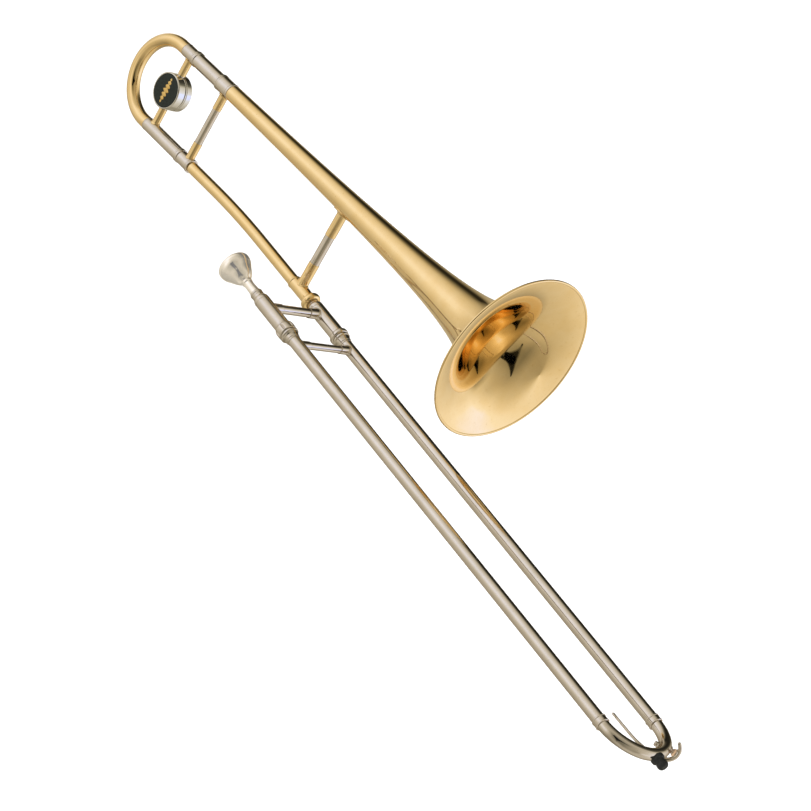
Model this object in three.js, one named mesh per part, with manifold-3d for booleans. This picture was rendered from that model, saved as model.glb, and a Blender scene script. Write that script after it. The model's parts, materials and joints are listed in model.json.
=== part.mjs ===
// Tenor slide trombone, in millimetres.
// +Y runs forward along the hand slide, +Z from the bell-side slide tube to the mouthpiece-side tube,
// and the bell lies towards -X. The origin is the middle of the inner slide brace, in the player's left hand.

import * as THREE from 'three';
import { mergeVertices } from 'three/addons/utils/BufferGeometryUtils.js';
import Module from 'manifold-3d';

const wasm = await Module();
wasm.setup();

// ---------------------------------------------------------------- driving dimensions

const GAP = 0.3;                 // left between pieces that touch or are soldered
const ROUND = 14;                // sides of a turned piece
const FINE = 24;                 // sides of the bell and other wide pieces

// hand slide
const TUBE_SPACING = 86.5;       // between the axes of the two slide tubes
const HALF = TUBE_SPACING / 2;
const OUTER_TUBE = { outer: 7.15, inner: 6.8, top: 27, end: 653.2 };
const INNER_TUBE = { outer: 6.5, inner: 6.15, top: 1.8, end: 645 };
const STOCKING = { radius: 6.65, length: 110 };
const NECK_END = 1.5;            // where the receiver and the tenon meet the inner tubes
const LEADPIPE = { outer: 6, inner: 5.5, end: 180 };
const BARREL = { outer: 9, inner: 8.5, shoulder: -16, top: -12, end: 35 };
const CORK = { outer: 8.3, inner: 6.65, top: 3, end: 26.5 };
const LOCK_RING = { outer: 11.1, inner: 8.9, top: 35.3, end: 46.5 };
const TOP_FERRULE = { mouthpieceSide: [10.8, 47, 58.5], bellSide: [10.4, 42.6, 54] };   // radius, top, end
const OUTER_BRACE_Y = 64.3;
const CROOK = { outer: 6.7, inner: 6.2, start: 653.5, bendStart: 655.4 };
const BOW_FERRULE = { outer: 8, top: 648.4, end: 657 };
const CROOK_APEX = CROOK.bendStart + HALF + CROOK.outer;

// mouthpiece and receiver
const RIM_FACE_Y = -76;
const SHANK_END = 0.5;
const RECEIVER_TOP = -25;

// bell section
const BELL_ANGLE = THREE.MathUtils.degToRad(5.14);   // between the bell axis and the slide
const BELL_SWIVEL = THREE.MathUtils.degToRad(1.155); // how far past square to the slide the bell is clamped
const BEND_Y = -186.6;           // where the gooseneck leaves the slide axis
const BEND_TO_RIM = 447.6;       // from that bend to the bell rim, along the bell
const BEND_LENGTH = 50;          // reach of the bend on each side of its middle
const LEG_SPACING = 103.9;       // between the bell axis and the gooseneck leg
const RIM_RADIUS = 101.6;
const HORN = { scale: 531, mouthOffset: 14, power: 0.629 };   // radius = scale / (mouthOffset - y) ^ power
const BELL_WALL = 0.6;
const BELL_TAIL = -547.7;        // stations along the bell axis are measured from the rim, forward
const BELL_FERRULE = { top: -574, end: -548 };
const SLEEVE_END = -549;         // where the upper sleeve stops inside the bell ferrule
const GOOSENECK = { outer: 7.2, inner: 6.6, start: -548.2 };
const GOOSENECK_FERRULE_END = -548.5;
const FRONT_BRACE = -308;
const REAR_BRACE = -558;
const TENON = { outer: 6.9, inner: 6.15, top: -51 };
const BELL_RECEIVER = { outer: 8, inner: 7.2, top: -60, end: -24 };
const LOCK_NUT = { outer: 11.8, end: -18.6, top: -27.6 };

// tuning slide
const TUNING = { bowStart: -647, mouth: -628.5, lowerMouth: -571.2, brace: -635.5 };
const LEG_TUBE = { outer: 7.6, inner: 7.0 };
const LEG_REACH = { upper: [-645, -566], lower: [-640, -556] };
const SLEEVE_BORE = 7.8;
const BOW_RADIUS = LEG_SPACING / 2;
const BOW_TUBE = { outer: 8.1, inner: 7.5 };
const BOW_STRAIGHT = 9;          // straight length of the bow before it turns
const WEIGHT = { radius: 22.5, depth: 23, discRadius: 20.2, discDepth: 1.4 };

// water key, on the bell-side half of the crook
const KEY_ANGLE = THREE.MathUtils.degToRad(50);      // round the crook from the bell-side tube
const KEY_PIVOT = 11.8;          // from the crook's centre line out to the pivot
const KEY_HUB = 2.9;

// ---------------------------------------------------------------- materials

function finish(color, roughness, metalness) {
  return () => new THREE.MeshStandardMaterial({ color, roughness, metalness });
}

const brass = finish(0xd9a441, 0.18, 1);
const nickel = finish(0xa89c8e, 0.25, 1);
const chrome = finish(0xcfd0d2, 0.12, 1);
const silver = finish(0xd6cfc4, 0.15, 1);
const rubber = finish(0x16191a, 0.7, 0);
const cork = finish(0xb08a5c, 0.9, 0);
const felt = finish(0x7a2b26, 0.95, 0);
const enamel = finish(0x141a16, 0.3, 0);
const steel = finish(0x8d8f93, 0.3, 1);

// ---------------------------------------------------------------- shape helpers

const trombone = new THREE.Group();

function place(name, geometry, material, parent = trombone) {
  const mesh = new THREE.Mesh(geometry, material());
  mesh.name = name;
  parent.add(mesh);
  return mesh;
}

function frameAt(x, y, z, parent = trombone) {
  const group = new THREE.Group();
  group.position.set(x, y, z);
  parent.add(group);
  return group;
}

// A turned solid about local Y. The profile is a list of [radius, y], up the outside.
function turned(profile, sides = ROUND) {
  return new THREE.LatheGeometry(profile.map(([radius, y]) => new THREE.Vector2(radius, y)), sides);
}

// A hollow turned piece: both walls are listed from low y to high y.
function hollow(outside, inside, sides = ROUND) {
  return turned([...outside, ...inside.toReversed(), outside[0]], sides);
}

function pipe(outer, inner, start, end, sides = ROUND) {
  return hollow([[outer, start], [outer, end]], [[inner, start], [inner, end]], sides);
}

function toSolid(geometry) {
  const bare = geometry.index ? geometry.clone() : geometry;
  bare.deleteAttribute('normal');
  bare.deleteAttribute('uv');
  const welded = mergeVertices(bare, 1e-4);
  const index = welded.index.array;
  const kept = [];
  for (let i = 0; i < index.length; i += 3) {
    const [a, b, c] = index.slice(i, i + 3);
    if (a !== b && b !== c && a !== c) {
      kept.push(a, b, c);
    }
  }
  return new wasm.Manifold(new wasm.Mesh({
    numProp: 3,
    vertProperties: new Float32Array(welded.attributes.position.array),
    triVerts: new Uint32Array(kept),
  }));
}

function toGeometry(solid) {
  const mesh = solid.getMesh();
  const geometry = new THREE.BufferGeometry();
  geometry.setAttribute('position', new THREE.BufferAttribute(new Float32Array(mesh.vertProperties), 3));
  geometry.setIndex(new THREE.BufferAttribute(new Uint32Array(mesh.triVerts), 1));
  geometry.computeVertexNormals();
  return geometry;
}

// A straight round bar between two points.
function bar(radius, from, to, sides = ROUND) {
  const start = new THREE.Vector3(...from);
  const along = new THREE.Vector3(...to).sub(start);
  const geometry = new THREE.CylinderGeometry(radius, radius, along.length(), sides);
  const up = new THREE.Vector3(0, 1, 0);
  const turn = new THREE.Quaternion().setFromUnitVectors(up, along.clone().normalize());
  geometry.applyQuaternion(turn);
  geometry.translate(...start.addScaledVector(along, 0.5).toArray());
  return toSolid(geometry);
}

function block(low, high) {
  const size = high.map((value, i) => value - low[i]);
  const geometry = new THREE.BoxGeometry(...size);
  geometry.translate(...low.map((value, i) => value + size[i] / 2));
  return toSolid(geometry);
}

class Route extends THREE.Curve {
  constructor(pointAt) {
    super();
    this.pointAt = pointAt;
  }

  getPoint(t, target = new THREE.Vector3()) {
    return target.copy(this.pointAt(t));
  }
}

function roundSection(outer, inner, sides) {
  const ring = (radius) => Array.from({ length: sides }, (_, i) => {
    const angle = 2 * Math.PI * i / sides;
    return new THREE.Vector2(radius * Math.cos(angle), radius * Math.sin(angle));
  });
  const shape = new THREE.Shape(ring(outer));
  if (inner > 0) {
    shape.holes.push(new THREE.Path(ring(inner)));
  }
  return shape;
}

function sweep(route, steps, outer, inner = 0, sides = 12) {
  return new THREE.ExtrudeGeometry(roundSection(outer, inner, sides), { steps, extrudePath: route });
}

// A U-shaped route: straight, half a circle about local (x = radius, y = 0), straight again.
// It lies in the plane of the two given directions, and starts and ends at y = 0.
function hairpin(radius, straight, across, forward) {
  const arc = Math.PI * radius;
  const total = arc + 2 * straight;
  return new Route((t) => {
    const walked = t * total;
    const angle = Math.min(Math.max((walked - straight) / radius, 0), Math.PI);
    const side = radius - radius * Math.cos(angle);
    let reach = straight + radius * Math.sin(angle);
    if (walked < straight) {
      reach = walked;
    } else if (walked > straight + arc) {
      reach = total - walked;
    }
    return new THREE.Vector3().addScaledVector(across, side).addScaledVector(forward, reach);
  });
}

// A soldered saddle flange with a socket, on a pipe that runs along local Y; the socket points along +X.
// The pipe leans by `lean` from local Y, towards +X.
function saddleSocket({ pipeRadius, radius, reach, flangeLength, flangeWidth, bore, boreDepth, lean }) {
  const inside = pipeRadius + GAP;
  const tilt = [0, 0, -THREE.MathUtils.radToDeg(lean)];
  const shell = bar(inside + 0.9, [0, -flangeLength, 0], [0, flangeLength, 0], 16).rotate(tilt);
  const oval = new THREE.CylinderGeometry(1, 1, inside + 4, 12);
  oval.rotateZ(Math.PI / 2);
  oval.scale(1, flangeLength / 2, flangeWidth / 2);
  oval.translate(inside / 2 + 2, 0, 0);
  const flange = shell.intersect(toSolid(oval));
  const clearance = bar(inside, [0, -50, 0], [0, 50, 0], 16).rotate(tilt);
  const hole = bar(bore, [reach - boreDepth, 0, 0], [reach + 1, 0, 0], 12);
  const body = bar(radius, [pipeRadius - 2, 0, 0], [reach, 0, 0], 12);
  return toGeometry(body.add(flange).subtract(clearance).subtract(hole));
}

// ---------------------------------------------------------------- mouthpiece

function mouthpiece() {
  const outside = [
    [16.2, 0], [18.8, 1], [19.6, 4], [18.8, 8.5], [14.9, 15.8], [10.7, 23.7], [6.8, 28.5], [5.5, 32],
    [5.65, 42], [6.15, 51],
    [5.55, SHANK_END - RIM_FACE_Y],
  ];
  const inside = [
    [14.2, 0.5], [12.9, 2.5], [11.5, 9], [9.2, 15], [5.2, 20.5], [3.3, 24.5], [4.9, SHANK_END - RIM_FACE_Y],
  ];
  const lift = ([radius, y]) => [radius, y + RIM_FACE_Y];
  return hollow(outside.map(lift), inside.map(lift), 20);
}

// ---------------------------------------------------------------- inner slide

function receiver() {
  return hollow(
    [[6.8, RECEIVER_TOP], [7.2, RECEIVER_TOP + 0.8], [7.2, RECEIVER_TOP + 2.6], [6.9, RECEIVER_TOP + 3],
      [6.9, NECK_END]],
    [[6.35, RECEIVER_TOP], [5.75, NECK_END]],
  );
}

// The tapered end that plugs into the bell section, with the collar that keeps the lock nut on.
function tenon() {
  return hollow(
    [[TENON.outer - 0.3, TENON.top], [TENON.outer, -27], [TENON.outer, -23.7], [8, -23.7], [8, -21.6],
      [TENON.outer, -21.6], [TENON.outer, NECK_END]],
    [[TENON.inner, TENON.top], [TENON.inner, NECK_END]],
  );
}

function innerTube() {
  const swell = INNER_TUBE.end - STOCKING.length;
  return hollow(
    [[INNER_TUBE.outer, INNER_TUBE.top], [INNER_TUBE.outer, swell], [STOCKING.radius, swell + 3],
      [STOCKING.radius, INNER_TUBE.end]],
    [[INNER_TUBE.inner, INNER_TUBE.top], [INNER_TUBE.inner, INNER_TUBE.end]],
  );
}

// A cork barrel: wide sleeve round the top of the inner tube, open at its lower end.
function corkBarrel(neckRadius, lowerEnd) {
  const hole = neckRadius + GAP;
  return hollow(
    [[hole + 0.5, BARREL.shoulder], [BARREL.outer - 0.5, BARREL.top - 1.6], [BARREL.outer, BARREL.top],
      ...lowerEnd.outside],
    [[hole, BARREL.shoulder], [hole, BARREL.top], [BARREL.inner, BARREL.top + 1.5], ...lowerEnd.inside],
  );
}

const spigotEnd = {
  outside: [[BARREL.outer, BARREL.end], [8.6, BARREL.end], [8.6, BARREL.end + 9]],
  inside: [[BARREL.inner, BARREL.end - 2], [8.2, BARREL.end - 1], [8.2, BARREL.end + 9]],
};

const beadedEnd = {
  outside: [[BARREL.outer, 35.6], [10.6, 36.2], [11.2, 37.6], [11.2, 40], [10.6, 41.6], [9.6, 42.1]],
  inside: [[BARREL.inner, 42.1]],
};

function lockRing() {
  const { outer, inner, top, end } = LOCK_RING;
  return hollow(
    [[outer - 1.3, top], [outer - 0.3, top + 1.8], [outer, top + 4.4], [outer, end - 3], [outer - 0.5, end]],
    [[inner, top], [inner, end]],
  );
}

function lockNut() {
  const { outer, top, end } = LOCK_NUT;
  return hollow(
    [[outer - 2.4, top], [outer - 0.7, top + 1.5], [outer, top + 3.4], [outer, end - 3.4],
      [outer - 0.7, end - 1.5], [outer - 2.4, end]],
    [[8.3, top], [8.3, -21.3], [7.2, -21.3], [7.2, end]],
  );
}

// ---------------------------------------------------------------- outer slide

function topFerrule(wide, top, end) {
  const tubeClearance = OUTER_TUBE.outer + 0.2;
  return hollow(
    [[wide - 0.5, top], [wide, top + 0.6], [wide, top + 3], [wide - 1.6, top + 5.6], [8.2, end - 3],
      [7.7, end]],
    [[tubeClearance, top], [tubeClearance, end]],
  );
}

function bowFerrule() {
  const { outer, top, end } = BOW_FERRULE;
  const step = CROOK.start;
  return hollow(
    [[outer, top], [outer, top + 1.6], [outer - 0.25, top + 2], [outer - 0.25, end - 2], [outer, end - 1.6],
      [outer, end]],
    [[OUTER_TUBE.outer + 0.2, top], [OUTER_TUBE.outer + 0.2, step], [CROOK.outer + 0.25, step],
      [CROOK.outer + 0.25, end]],
  );
}

const crookRoute = hairpin(
  HALF, CROOK.bendStart - CROOK.start, new THREE.Vector3(0, 0, 1), new THREE.Vector3(0, 1, 0),
);

function crookSweep(outer, inner) {
  const geometry = sweep(crookRoute, 14, outer, inner);
  geometry.translate(0, CROOK.start, -HALF);
  return toSolid(geometry);
}

// Space kept round the crook by everything that is soldered to it.
const crookClearance = crookSweep(CROOK.outer + GAP);

// ---------------------------------------------------------------- water key

// Local frame at the key: +X away from the slide plane's bell side, +Y out of the bend, +Z along the crook.
const keyFrame = new THREE.Matrix4()
  .makeRotationX(KEY_ANGLE - Math.PI / 2)
  .setPosition(0, CROOK.bendStart + HALF * Math.sin(KEY_ANGLE), -HALF * Math.cos(KEY_ANGLE));

function atKey(solid) {
  return solid.transform(keyFrame.elements);
}

function crook() {
  const drain = atKey(bar(1.3, [0, 3, 0], [0, 9, 0], 12));
  return toGeometry(crookSweep(CROOK.outer, CROOK.inner).subtract(drain));
}

function nipple() {
  const flange = bar(3.8, [0, 5, 0], [0, 7.7, 0], 16);
  const spout = bar(2.7, [0, 5, 0], [0, 9.2, 0], 16);
  const drain = bar(1.3, [0, 0, 0], [0, 12, 0], 12);
  return toGeometry(atKey(flange.add(spout).subtract(drain)).subtract(crookClearance));
}

function saddle() {
  const plate = bar(8.7, [0, 0, -6], [0, 0, 6], ROUND).intersect(block([0.5, -9, -6], [9, 4.5, 6]));
  const foot = bar(3, [2.6, -11, 0], [2.6, -4, 0], 14);
  let solid = plate.add(foot);
  for (const side of [-1, 1]) {
    const near = Math.min(side * 4.6, side * 6);
    const far = Math.max(side * 4.6, side * 6);
    solid = solid.add(block([4, -2.4, near], [KEY_PIVOT, 2.4, far]));
    solid = solid.add(bar(2.4, [KEY_PIVOT, 0, near], [KEY_PIVOT, 0, far], 16));
  }
  const hole = bar(1.3, [KEY_PIVOT, 0, -8], [KEY_PIVOT, 0, 8], 12);
  const hubRoom = bar(KEY_HUB + 1.05, [KEY_PIVOT, 0, -4.6], [KEY_PIVOT, 0, 4.6], 16);
  return toGeometry(atKey(solid.subtract(hole).subtract(hubRoom)).subtract(crookClearance));
}

function pivotScrew() {
  const rod = bar(1.1, [KEY_PIVOT, 0, -6.8], [KEY_PIVOT, 0, 6.4], 12);
  const head = bar(2.1, [KEY_PIVOT, 0, 6.3], [KEY_PIVOT, 0, 7.8], 16);
  return toGeometry(atKey(rod.add(head)));
}

function curvedBar(points, steps, thick, wide) {
  const route = new THREE.CatmullRomCurve3(points.map((point) => new THREE.Vector3(...point)));
  const outline = Array.from({ length: 8 }, (_, i) => {
    const angle = 2 * Math.PI * i / 8;
    return new THREE.Vector2(thick * Math.cos(angle), wide * Math.sin(angle));
  });
  return toSolid(new THREE.ExtrudeGeometry(new THREE.Shape(outline), { steps, extrudePath: route }));
}

function waterKeyLever() {
  const hub = atKey(bar(KEY_HUB, [KEY_PIVOT, 0, -4.3], [KEY_PIVOT, 0, 4.3], 18));
  const hook = atKey(curvedBar(
    [[KEY_PIVOT, 1, 0], [12, 7, 0], [7.5, 12.6, 0], [0, 14.4, 0], [-7, 13.4, 0], [-12.6, 8.6, 0]],
    8, 2.1, 2.1,
  ));
  const cup = atKey(bar(4.6, [0, 11.5, 0], [0, 14, 0], 20));
  const touch = curvedBar(
    [[11.8, 687.6, -27], [12.6, 680, -19.4], [12.4, 668, -11.9], [12.3, 650, -10.3], [12, 630.5, -9.3]],
    8, 1.3, 1.3,
  );
  const pad = toSolid(new THREE.SphereGeometry(1, 10, 6).scale(1.5, 4, 2).translate(12, 631.5, -9.3));
  const bore = atKey(bar(1.3, [KEY_PIVOT, 0, -8], [KEY_PIVOT, 0, 8], 12));
  return toGeometry(hub.add(hook).add(cup).add(touch).add(pad).subtract(bore));
}

function keyCork() {
  return toGeometry(atKey(bar(4.1, [0, 9.3, 0], [0, 11.3, 0], 20)));
}

function keySpring() {
  const turns = 2;
  const coil = new Route((t) => {
    const angle = 2 * Math.PI * turns * t;
    return new THREE.Vector3(KEY_PIVOT + 3.5 * Math.cos(angle), 3.5 * Math.sin(angle), 3 + 0.9 * t);
  });
  return toGeometry(atKey(toSolid(sweep(coil, 20, 0.25, 0, 5))));
}

// ---------------------------------------------------------------- bumper

function bumperPost() {
  const post = bar(2.2, [0, CROOK_APEX - 3, 0], [0, CROOK_APEX + 6.6, 0], 16);
  return toGeometry(post.subtract(crookClearance));
}

function rubberBumper() {
  const profile = [
    [0, -4], [7.2, -4], [7.2, 1.4], [5.6, 2.6], [5.3, 3.6],
    [5.7, 5.6], [5.6, 8], [4.6, 10.2], [3, 11], [0, 11],
  ];
  const body = toSolid(turned(profile.map(([radius, y]) => [radius, y + CROOK_APEX]), 20));
  const hole = bar(2.5, [0, CROOK_APEX - 6, 0], [0, CROOK_APEX + 7, 0], 16);
  return toGeometry(body.subtract(hole).subtract(crookClearance));
}

// ---------------------------------------------------------------- bell section

function hornRadius(y) {
  return HORN.scale / (HORN.mouthOffset - y) ** HORN.power;
}

function bell() {
  const rings = 13;
  const far = HORN.mouthOffset - BELL_TAIL;
  const near = HORN.mouthOffset + 0.9;
  const outside = [];
  const inside = [];
  for (let i = 0; i <= rings; i += 1) {
    const y = HORN.mouthOffset - far * (near / far) ** (i / rings);
    const radius = hornRadius(y);
    const slope = HORN.power * radius / (HORN.mouthOffset - y);
    const length = Math.hypot(1, slope);
    outside.push([radius, y]);
    inside.push([radius - BELL_WALL / length, y + BELL_WALL * slope / length]);
  }
  inside[0][1] = BELL_TAIL;
  return hollow(outside, inside, FINE);
}

// The wire that the rim is rolled over, with a narrow flat front.
function rimWire() {
  const outer = RIM_RADIUS;
  return turned([
    [outer - 0.9, -2.2], [outer, -1.3], [outer, 0],
    [outer - 0.7, 0.9], [outer - 2.3, 0.9], [outer - 3.1, 0.1],
    [outer - 3.1, -1.3], [outer - 2.2, -2.2], [outer - 0.9, -2.2],
  ], FINE);
}

function bellFerrule() {
  const { top, end } = BELL_FERRULE;
  return hollow(
    [[9.6, top], [10.3, top + 0.8], [10.3, top + 2.6], [10.05, top + 3], [10.05, end - 3], [10.35, end - 2.6],
      [10.35, end]],
    [[9.15, top], [9.15, end]],
  );
}

function upperSleeve() {
  const mouth = TUNING.mouth + GAP;
  return hollow(
    [[9.2, mouth], [9.6, mouth + 0.5], [9.6, mouth + 6], [9.2, mouth + 6.6], [8.9, mouth + 6.7],
      [8.9, SLEEVE_END]],
    [[SLEEVE_BORE, mouth], [SLEEVE_BORE, SLEEVE_END]],
  );
}

function gooseneckFerrule() {
  const mouth = TUNING.lowerMouth + GAP;
  const end = GOOSENECK_FERRULE_END;
  return hollow(
    [[8.3, mouth], [8.3, end - 4.1], [8.9, end - 3.5], [8.9, end - 0.7], [8.5, end]],
    [[SLEEVE_BORE, mouth], [SLEEVE_BORE, end]],
  );
}

function lowerSleeve() {
  const mouth = TUNING.lowerMouth;
  return hollow(
    [[8.3, TUNING.bowStart], [8.3, mouth - 5.8], [9, mouth - 5.2], [9, mouth - 0.5], [8.7, mouth]],
    [[SLEEVE_BORE, TUNING.bowStart], [SLEEVE_BORE, mouth]],
  );
}

function bellReceiver() {
  const { outer, inner, top, end } = BELL_RECEIVER;
  return hollow(
    [[outer, top], [outer + 0.5, top + 0.6], [outer + 0.5, top + 2.2], [outer, top + 2.8], [outer, end]],
    [[inner, top], [inner, end]],
  );
}

// The bell section turns about the tenon: this frame is on its axis.
const bellSection = frameAt(0, 0, -HALF);
bellSection.rotation.y = -BELL_SWIVEL;

// The frame whose +Y is the bell axis and whose +X points from the bell to the gooseneck leg.
const bellFrame = frameAt(0, BEND_Y, 0, bellSection);
bellFrame.rotation.z = BELL_ANGLE;
const bellForward = new THREE.Vector3(0, 1, 0).applyEuler(bellFrame.rotation);
const bellAcross = new THREE.Vector3(1, 0, 0).applyEuler(bellFrame.rotation);
bellFrame.position.addScaledVector(bellForward, BEND_TO_RIM).addScaledVector(bellAcross, -LEG_SPACING);

function gooseneck() {
  const middle = new THREE.Vector3(0, BEND_Y, 0);
  const start = middle.clone().addScaledVector(bellForward, GOOSENECK.start + BEND_TO_RIM);
  const end = new THREE.Vector3(0, BELL_RECEIVER.top - GAP, 0);
  const before = middle.clone().addScaledVector(bellForward, -BEND_LENGTH);
  const after = new THREE.Vector3(0, BEND_Y + BEND_LENGTH, 0);
  const route = new THREE.CurvePath();
  route.add(new THREE.LineCurve3(start, before));
  route.add(new THREE.QuadraticBezierCurve3(before, middle, after));
  route.add(new THREE.LineCurve3(after, end));
  return sweep(route, 8, GOOSENECK.outer, GOOSENECK.inner);
}

function braceTube(radius, start, end) {
  const geometry = pipe(radius, radius - 0.8, start, end, 12);
  geometry.rotateZ(-Math.PI / 2);
  return geometry;
}

// A brace between two parallel or nearly parallel pipes: sockets on both, a tube between them.
// The local +X of the parent frame runs from the first pipe to the second.
function brace(parent, { label, span, near, far, radius, tube, material }) {
  const boreDepth = 6;
  const socket = (side) => saddleSocket({
    pipeRadius: side.pipeRadius, radius, reach: side.reach, flangeLength: side.flange[0],
    flangeWidth: side.flange[1], bore: tube + 0.3, boreDepth, lean: side.lean ?? 0,
  });
  place(`${label}_socket_${near.name}`, socket(near), material, parent);
  const farFrame = frameAt(span, 0, 0, parent);
  farFrame.rotation.z = Math.PI;
  place(`${label}_socket_${far.name}`, socket(far), material, farFrame);
  const start = near.reach - boreDepth + GAP;
  const end = span - far.reach + boreDepth - GAP;
  place(`${label}_tube`, braceTube(tube, start, end), nickel, parent);
}

// ---------------------------------------------------------------- tuning slide

function tuningBow() {
  const route = hairpin(BOW_RADIUS, BOW_STRAIGHT, new THREE.Vector3(1, 0, 0), new THREE.Vector3(0, -1, 0));
  const geometry = sweep(route, 14, BOW_TUBE.outer, BOW_TUBE.inner);
  geometry.translate(0, TUNING.bowStart - GAP, 0);
  return geometry;
}

const screwPlaces = [-13, 13];

function weightHalf(side) {
  const { radius, depth, discRadius, discDepth } = WEIGHT;
  const parting = side * 0.2;
  const outer = side * depth / 2;
  let half = bar(radius, [0, 0, parting], [0, 0, outer - side * 0.8], FINE);
  half = half.add(bar(radius - 0.8, [0, 0, parting], [0, 0, outer], FINE));
  half = half.subtract(bar(4.6, [-40, 0, 0], [40, 0, 0]));
  for (const along of screwPlaces) {
    const hole = bar(1.8, [0, along, -9], [0, along, 8], 10);
    const pocket = bar(3.2, [0, along, -12], [0, along, -8.5], 12);
    half = half.subtract(hole).subtract(pocket);
  }
  if (side > 0) {
    half = half.subtract(bar(discRadius + GAP, [0, 0, depth / 2 - discDepth - GAP], [0, 0, depth], FINE));
  }
  return toGeometry(half);
}

function weightScrew(along) {
  const shank = bar(1.5, [0, along, -9], [0, along, 7.6], 10);
  const head = bar(2.9, [0, along, -11], [0, along, -8.8], 12);
  return toGeometry(shank.add(head));
}

function weightDisc() {
  const { depth, discRadius, discDepth } = WEIGHT;
  const geometry = new THREE.CylinderGeometry(discRadius, discRadius, discDepth, FINE);
  geometry.rotateX(Math.PI / 2);
  geometry.translate(0, 0, depth / 2 - discDepth / 2 - 0.2);
  return geometry;
}

// ---------------------------------------------------------------- assembly

const mouthpieceSide = frameAt(0, 0, HALF);
const bellSide = frameAt(0, 0, -HALF);
const legSide = frameAt(LEG_SPACING, 0, 0, bellFrame);

place('mouthpiece', mouthpiece(), silver, mouthpieceSide);
place('mouthpiece_receiver', receiver(), nickel, mouthpieceSide);
const leadpipe = pipe(LEADPIPE.outer, LEADPIPE.inner, INNER_TUBE.top + GAP, LEADPIPE.end);
place('leadpipe', leadpipe, brass, mouthpieceSide);
place('slide_tenon', tenon(), nickel, bellSide);
place('bell_lock_nut', lockNut(), brass, bellSide);
place('slide_lock_ring', lockRing(), nickel, mouthpieceSide);
place('cork_barrel_mouthpiece_side', corkBarrel(6.9, spigotEnd), nickel, mouthpieceSide);
place('cork_barrel_bell_side', corkBarrel(TENON.outer, beadedEnd), nickel, bellSide);
place('top_ferrule_mouthpiece_side', topFerrule(...TOP_FERRULE.mouthpieceSide), nickel, mouthpieceSide);
place('top_ferrule_bell_side', topFerrule(...TOP_FERRULE.bellSide), nickel, bellSide);

for (const [side, frame] of [['mouthpiece_side', mouthpieceSide], ['bell_side', bellSide]]) {
  place(`inner_tube_${side}`, innerTube(), chrome, frame);
  place(`cork_bumper_${side}`, pipe(CORK.outer, CORK.inner, CORK.top, CORK.end), felt, frame);
  place(`outer_tube_${side}`, pipe(OUTER_TUBE.outer, OUTER_TUBE.inner, OUTER_TUBE.top, OUTER_TUBE.end),
    nickel, frame);
  place(`bow_ferrule_${side}`, bowFerrule(), nickel, frame);
}

// Slide braces run along +Z, from the bell-side tube to the mouthpiece-side tube.
const innerBraceFrame = frameAt(0, 0, -HALF);
innerBraceFrame.rotation.y = -Math.PI / 2;
brace(innerBraceFrame, {
  label: 'inner_brace', span: TUBE_SPACING, radius: 6, tube: 5.2, material: nickel,
  near: { name: 'bell_side', pipeRadius: BARREL.outer, reach: 21, flange: [20, 13] },
  far: { name: 'mouthpiece_side', pipeRadius: BARREL.outer, reach: 21, flange: [20, 13] },
});
const outerBraceFrame = frameAt(0, OUTER_BRACE_Y, -HALF);
outerBraceFrame.rotation.y = -Math.PI / 2;
brace(outerBraceFrame, {
  label: 'outer_brace', span: TUBE_SPACING, radius: 5, tube: 4.3, material: nickel,
  near: { name: 'bell_side', pipeRadius: OUTER_TUBE.outer, reach: 19, flange: [16, 11.5] },
  far: { name: 'mouthpiece_side', pipeRadius: OUTER_TUBE.outer, reach: 19, flange: [10.6, 11.5] },
});

place('slide_bow', crook(), nickel);
place('bumper_post', bumperPost(), nickel);
place('rubber_bumper', rubberBumper(), rubber);
place('water_key_nipple', nipple(), nickel);
place('water_key_saddle', saddle(), nickel);
place('water_key_pivot_screw', pivotScrew(), steel);
place('water_key_lever', waterKeyLever(), nickel);
place('water_key_cork', keyCork(), cork);
place('water_key_spring', keySpring(), steel);

place('bell', bell(), brass, bellFrame);
place('bell_rim_wire', rimWire(), brass, bellFrame);
place('bell_ferrule', bellFerrule(), nickel, bellFrame);
place('tuning_sleeve_upper', upperSleeve(), nickel, bellFrame);
place('gooseneck', gooseneck(), brass, bellSection);
place('gooseneck_ferrule', gooseneckFerrule(), nickel, legSide);
place('gooseneck_leg_tube', pipe(LEG_TUBE.outer, LEG_TUBE.inner, ...LEG_REACH.lower), nickel, legSide);
place('bell_receiver', bellReceiver(), brass, bellSection);

const rearBraceFrame = frameAt(0, REAR_BRACE, 0, bellFrame);
brace(rearBraceFrame, {
  label: 'rear_brace', span: LEG_SPACING, radius: 5.4, tube: 4.8, material: brass,
  near: { name: 'bell', pipeRadius: 10.35, reach: 29, flange: [14, 14] },
  far: { name: 'gooseneck', pipeRadius: 8.3, reach: 28, flange: [11, 12] },
});

const frontBraceSpan = LEG_SPACING + (BEND_TO_RIM + FRONT_BRACE) * Math.tan(BELL_ANGLE);
const frontBraceFrame = frameAt(0, FRONT_BRACE, 0, bellFrame);
const hornThere = hornRadius(FRONT_BRACE);
const hornLean = HORN.power * hornThere / (HORN.mouthOffset - FRONT_BRACE);
brace(frontBraceFrame, {
  label: 'front_brace', span: frontBraceSpan, radius: 6.4, tube: 5.9, material: brass,
  near: { name: 'bell', pipeRadius: hornThere + 0.1, reach: 44, flange: [30, 20], lean: hornLean },
  far: { name: 'gooseneck', pipeRadius: BELL_RECEIVER.outer, reach: 35, flange: [18, 13], lean: BELL_ANGLE },
});

place('tuning_bow', tuningBow(), brass, bellFrame);
place('tuning_ferrule_upper', pipe(8.35, 7.8, TUNING.bowStart, TUNING.mouth), nickel, bellFrame);
place('tuning_leg_tube', pipe(LEG_TUBE.outer, LEG_TUBE.inner, ...LEG_REACH.upper), nickel, bellFrame);
place('tuning_sleeve_lower', lowerSleeve(), nickel, legSide);

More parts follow.
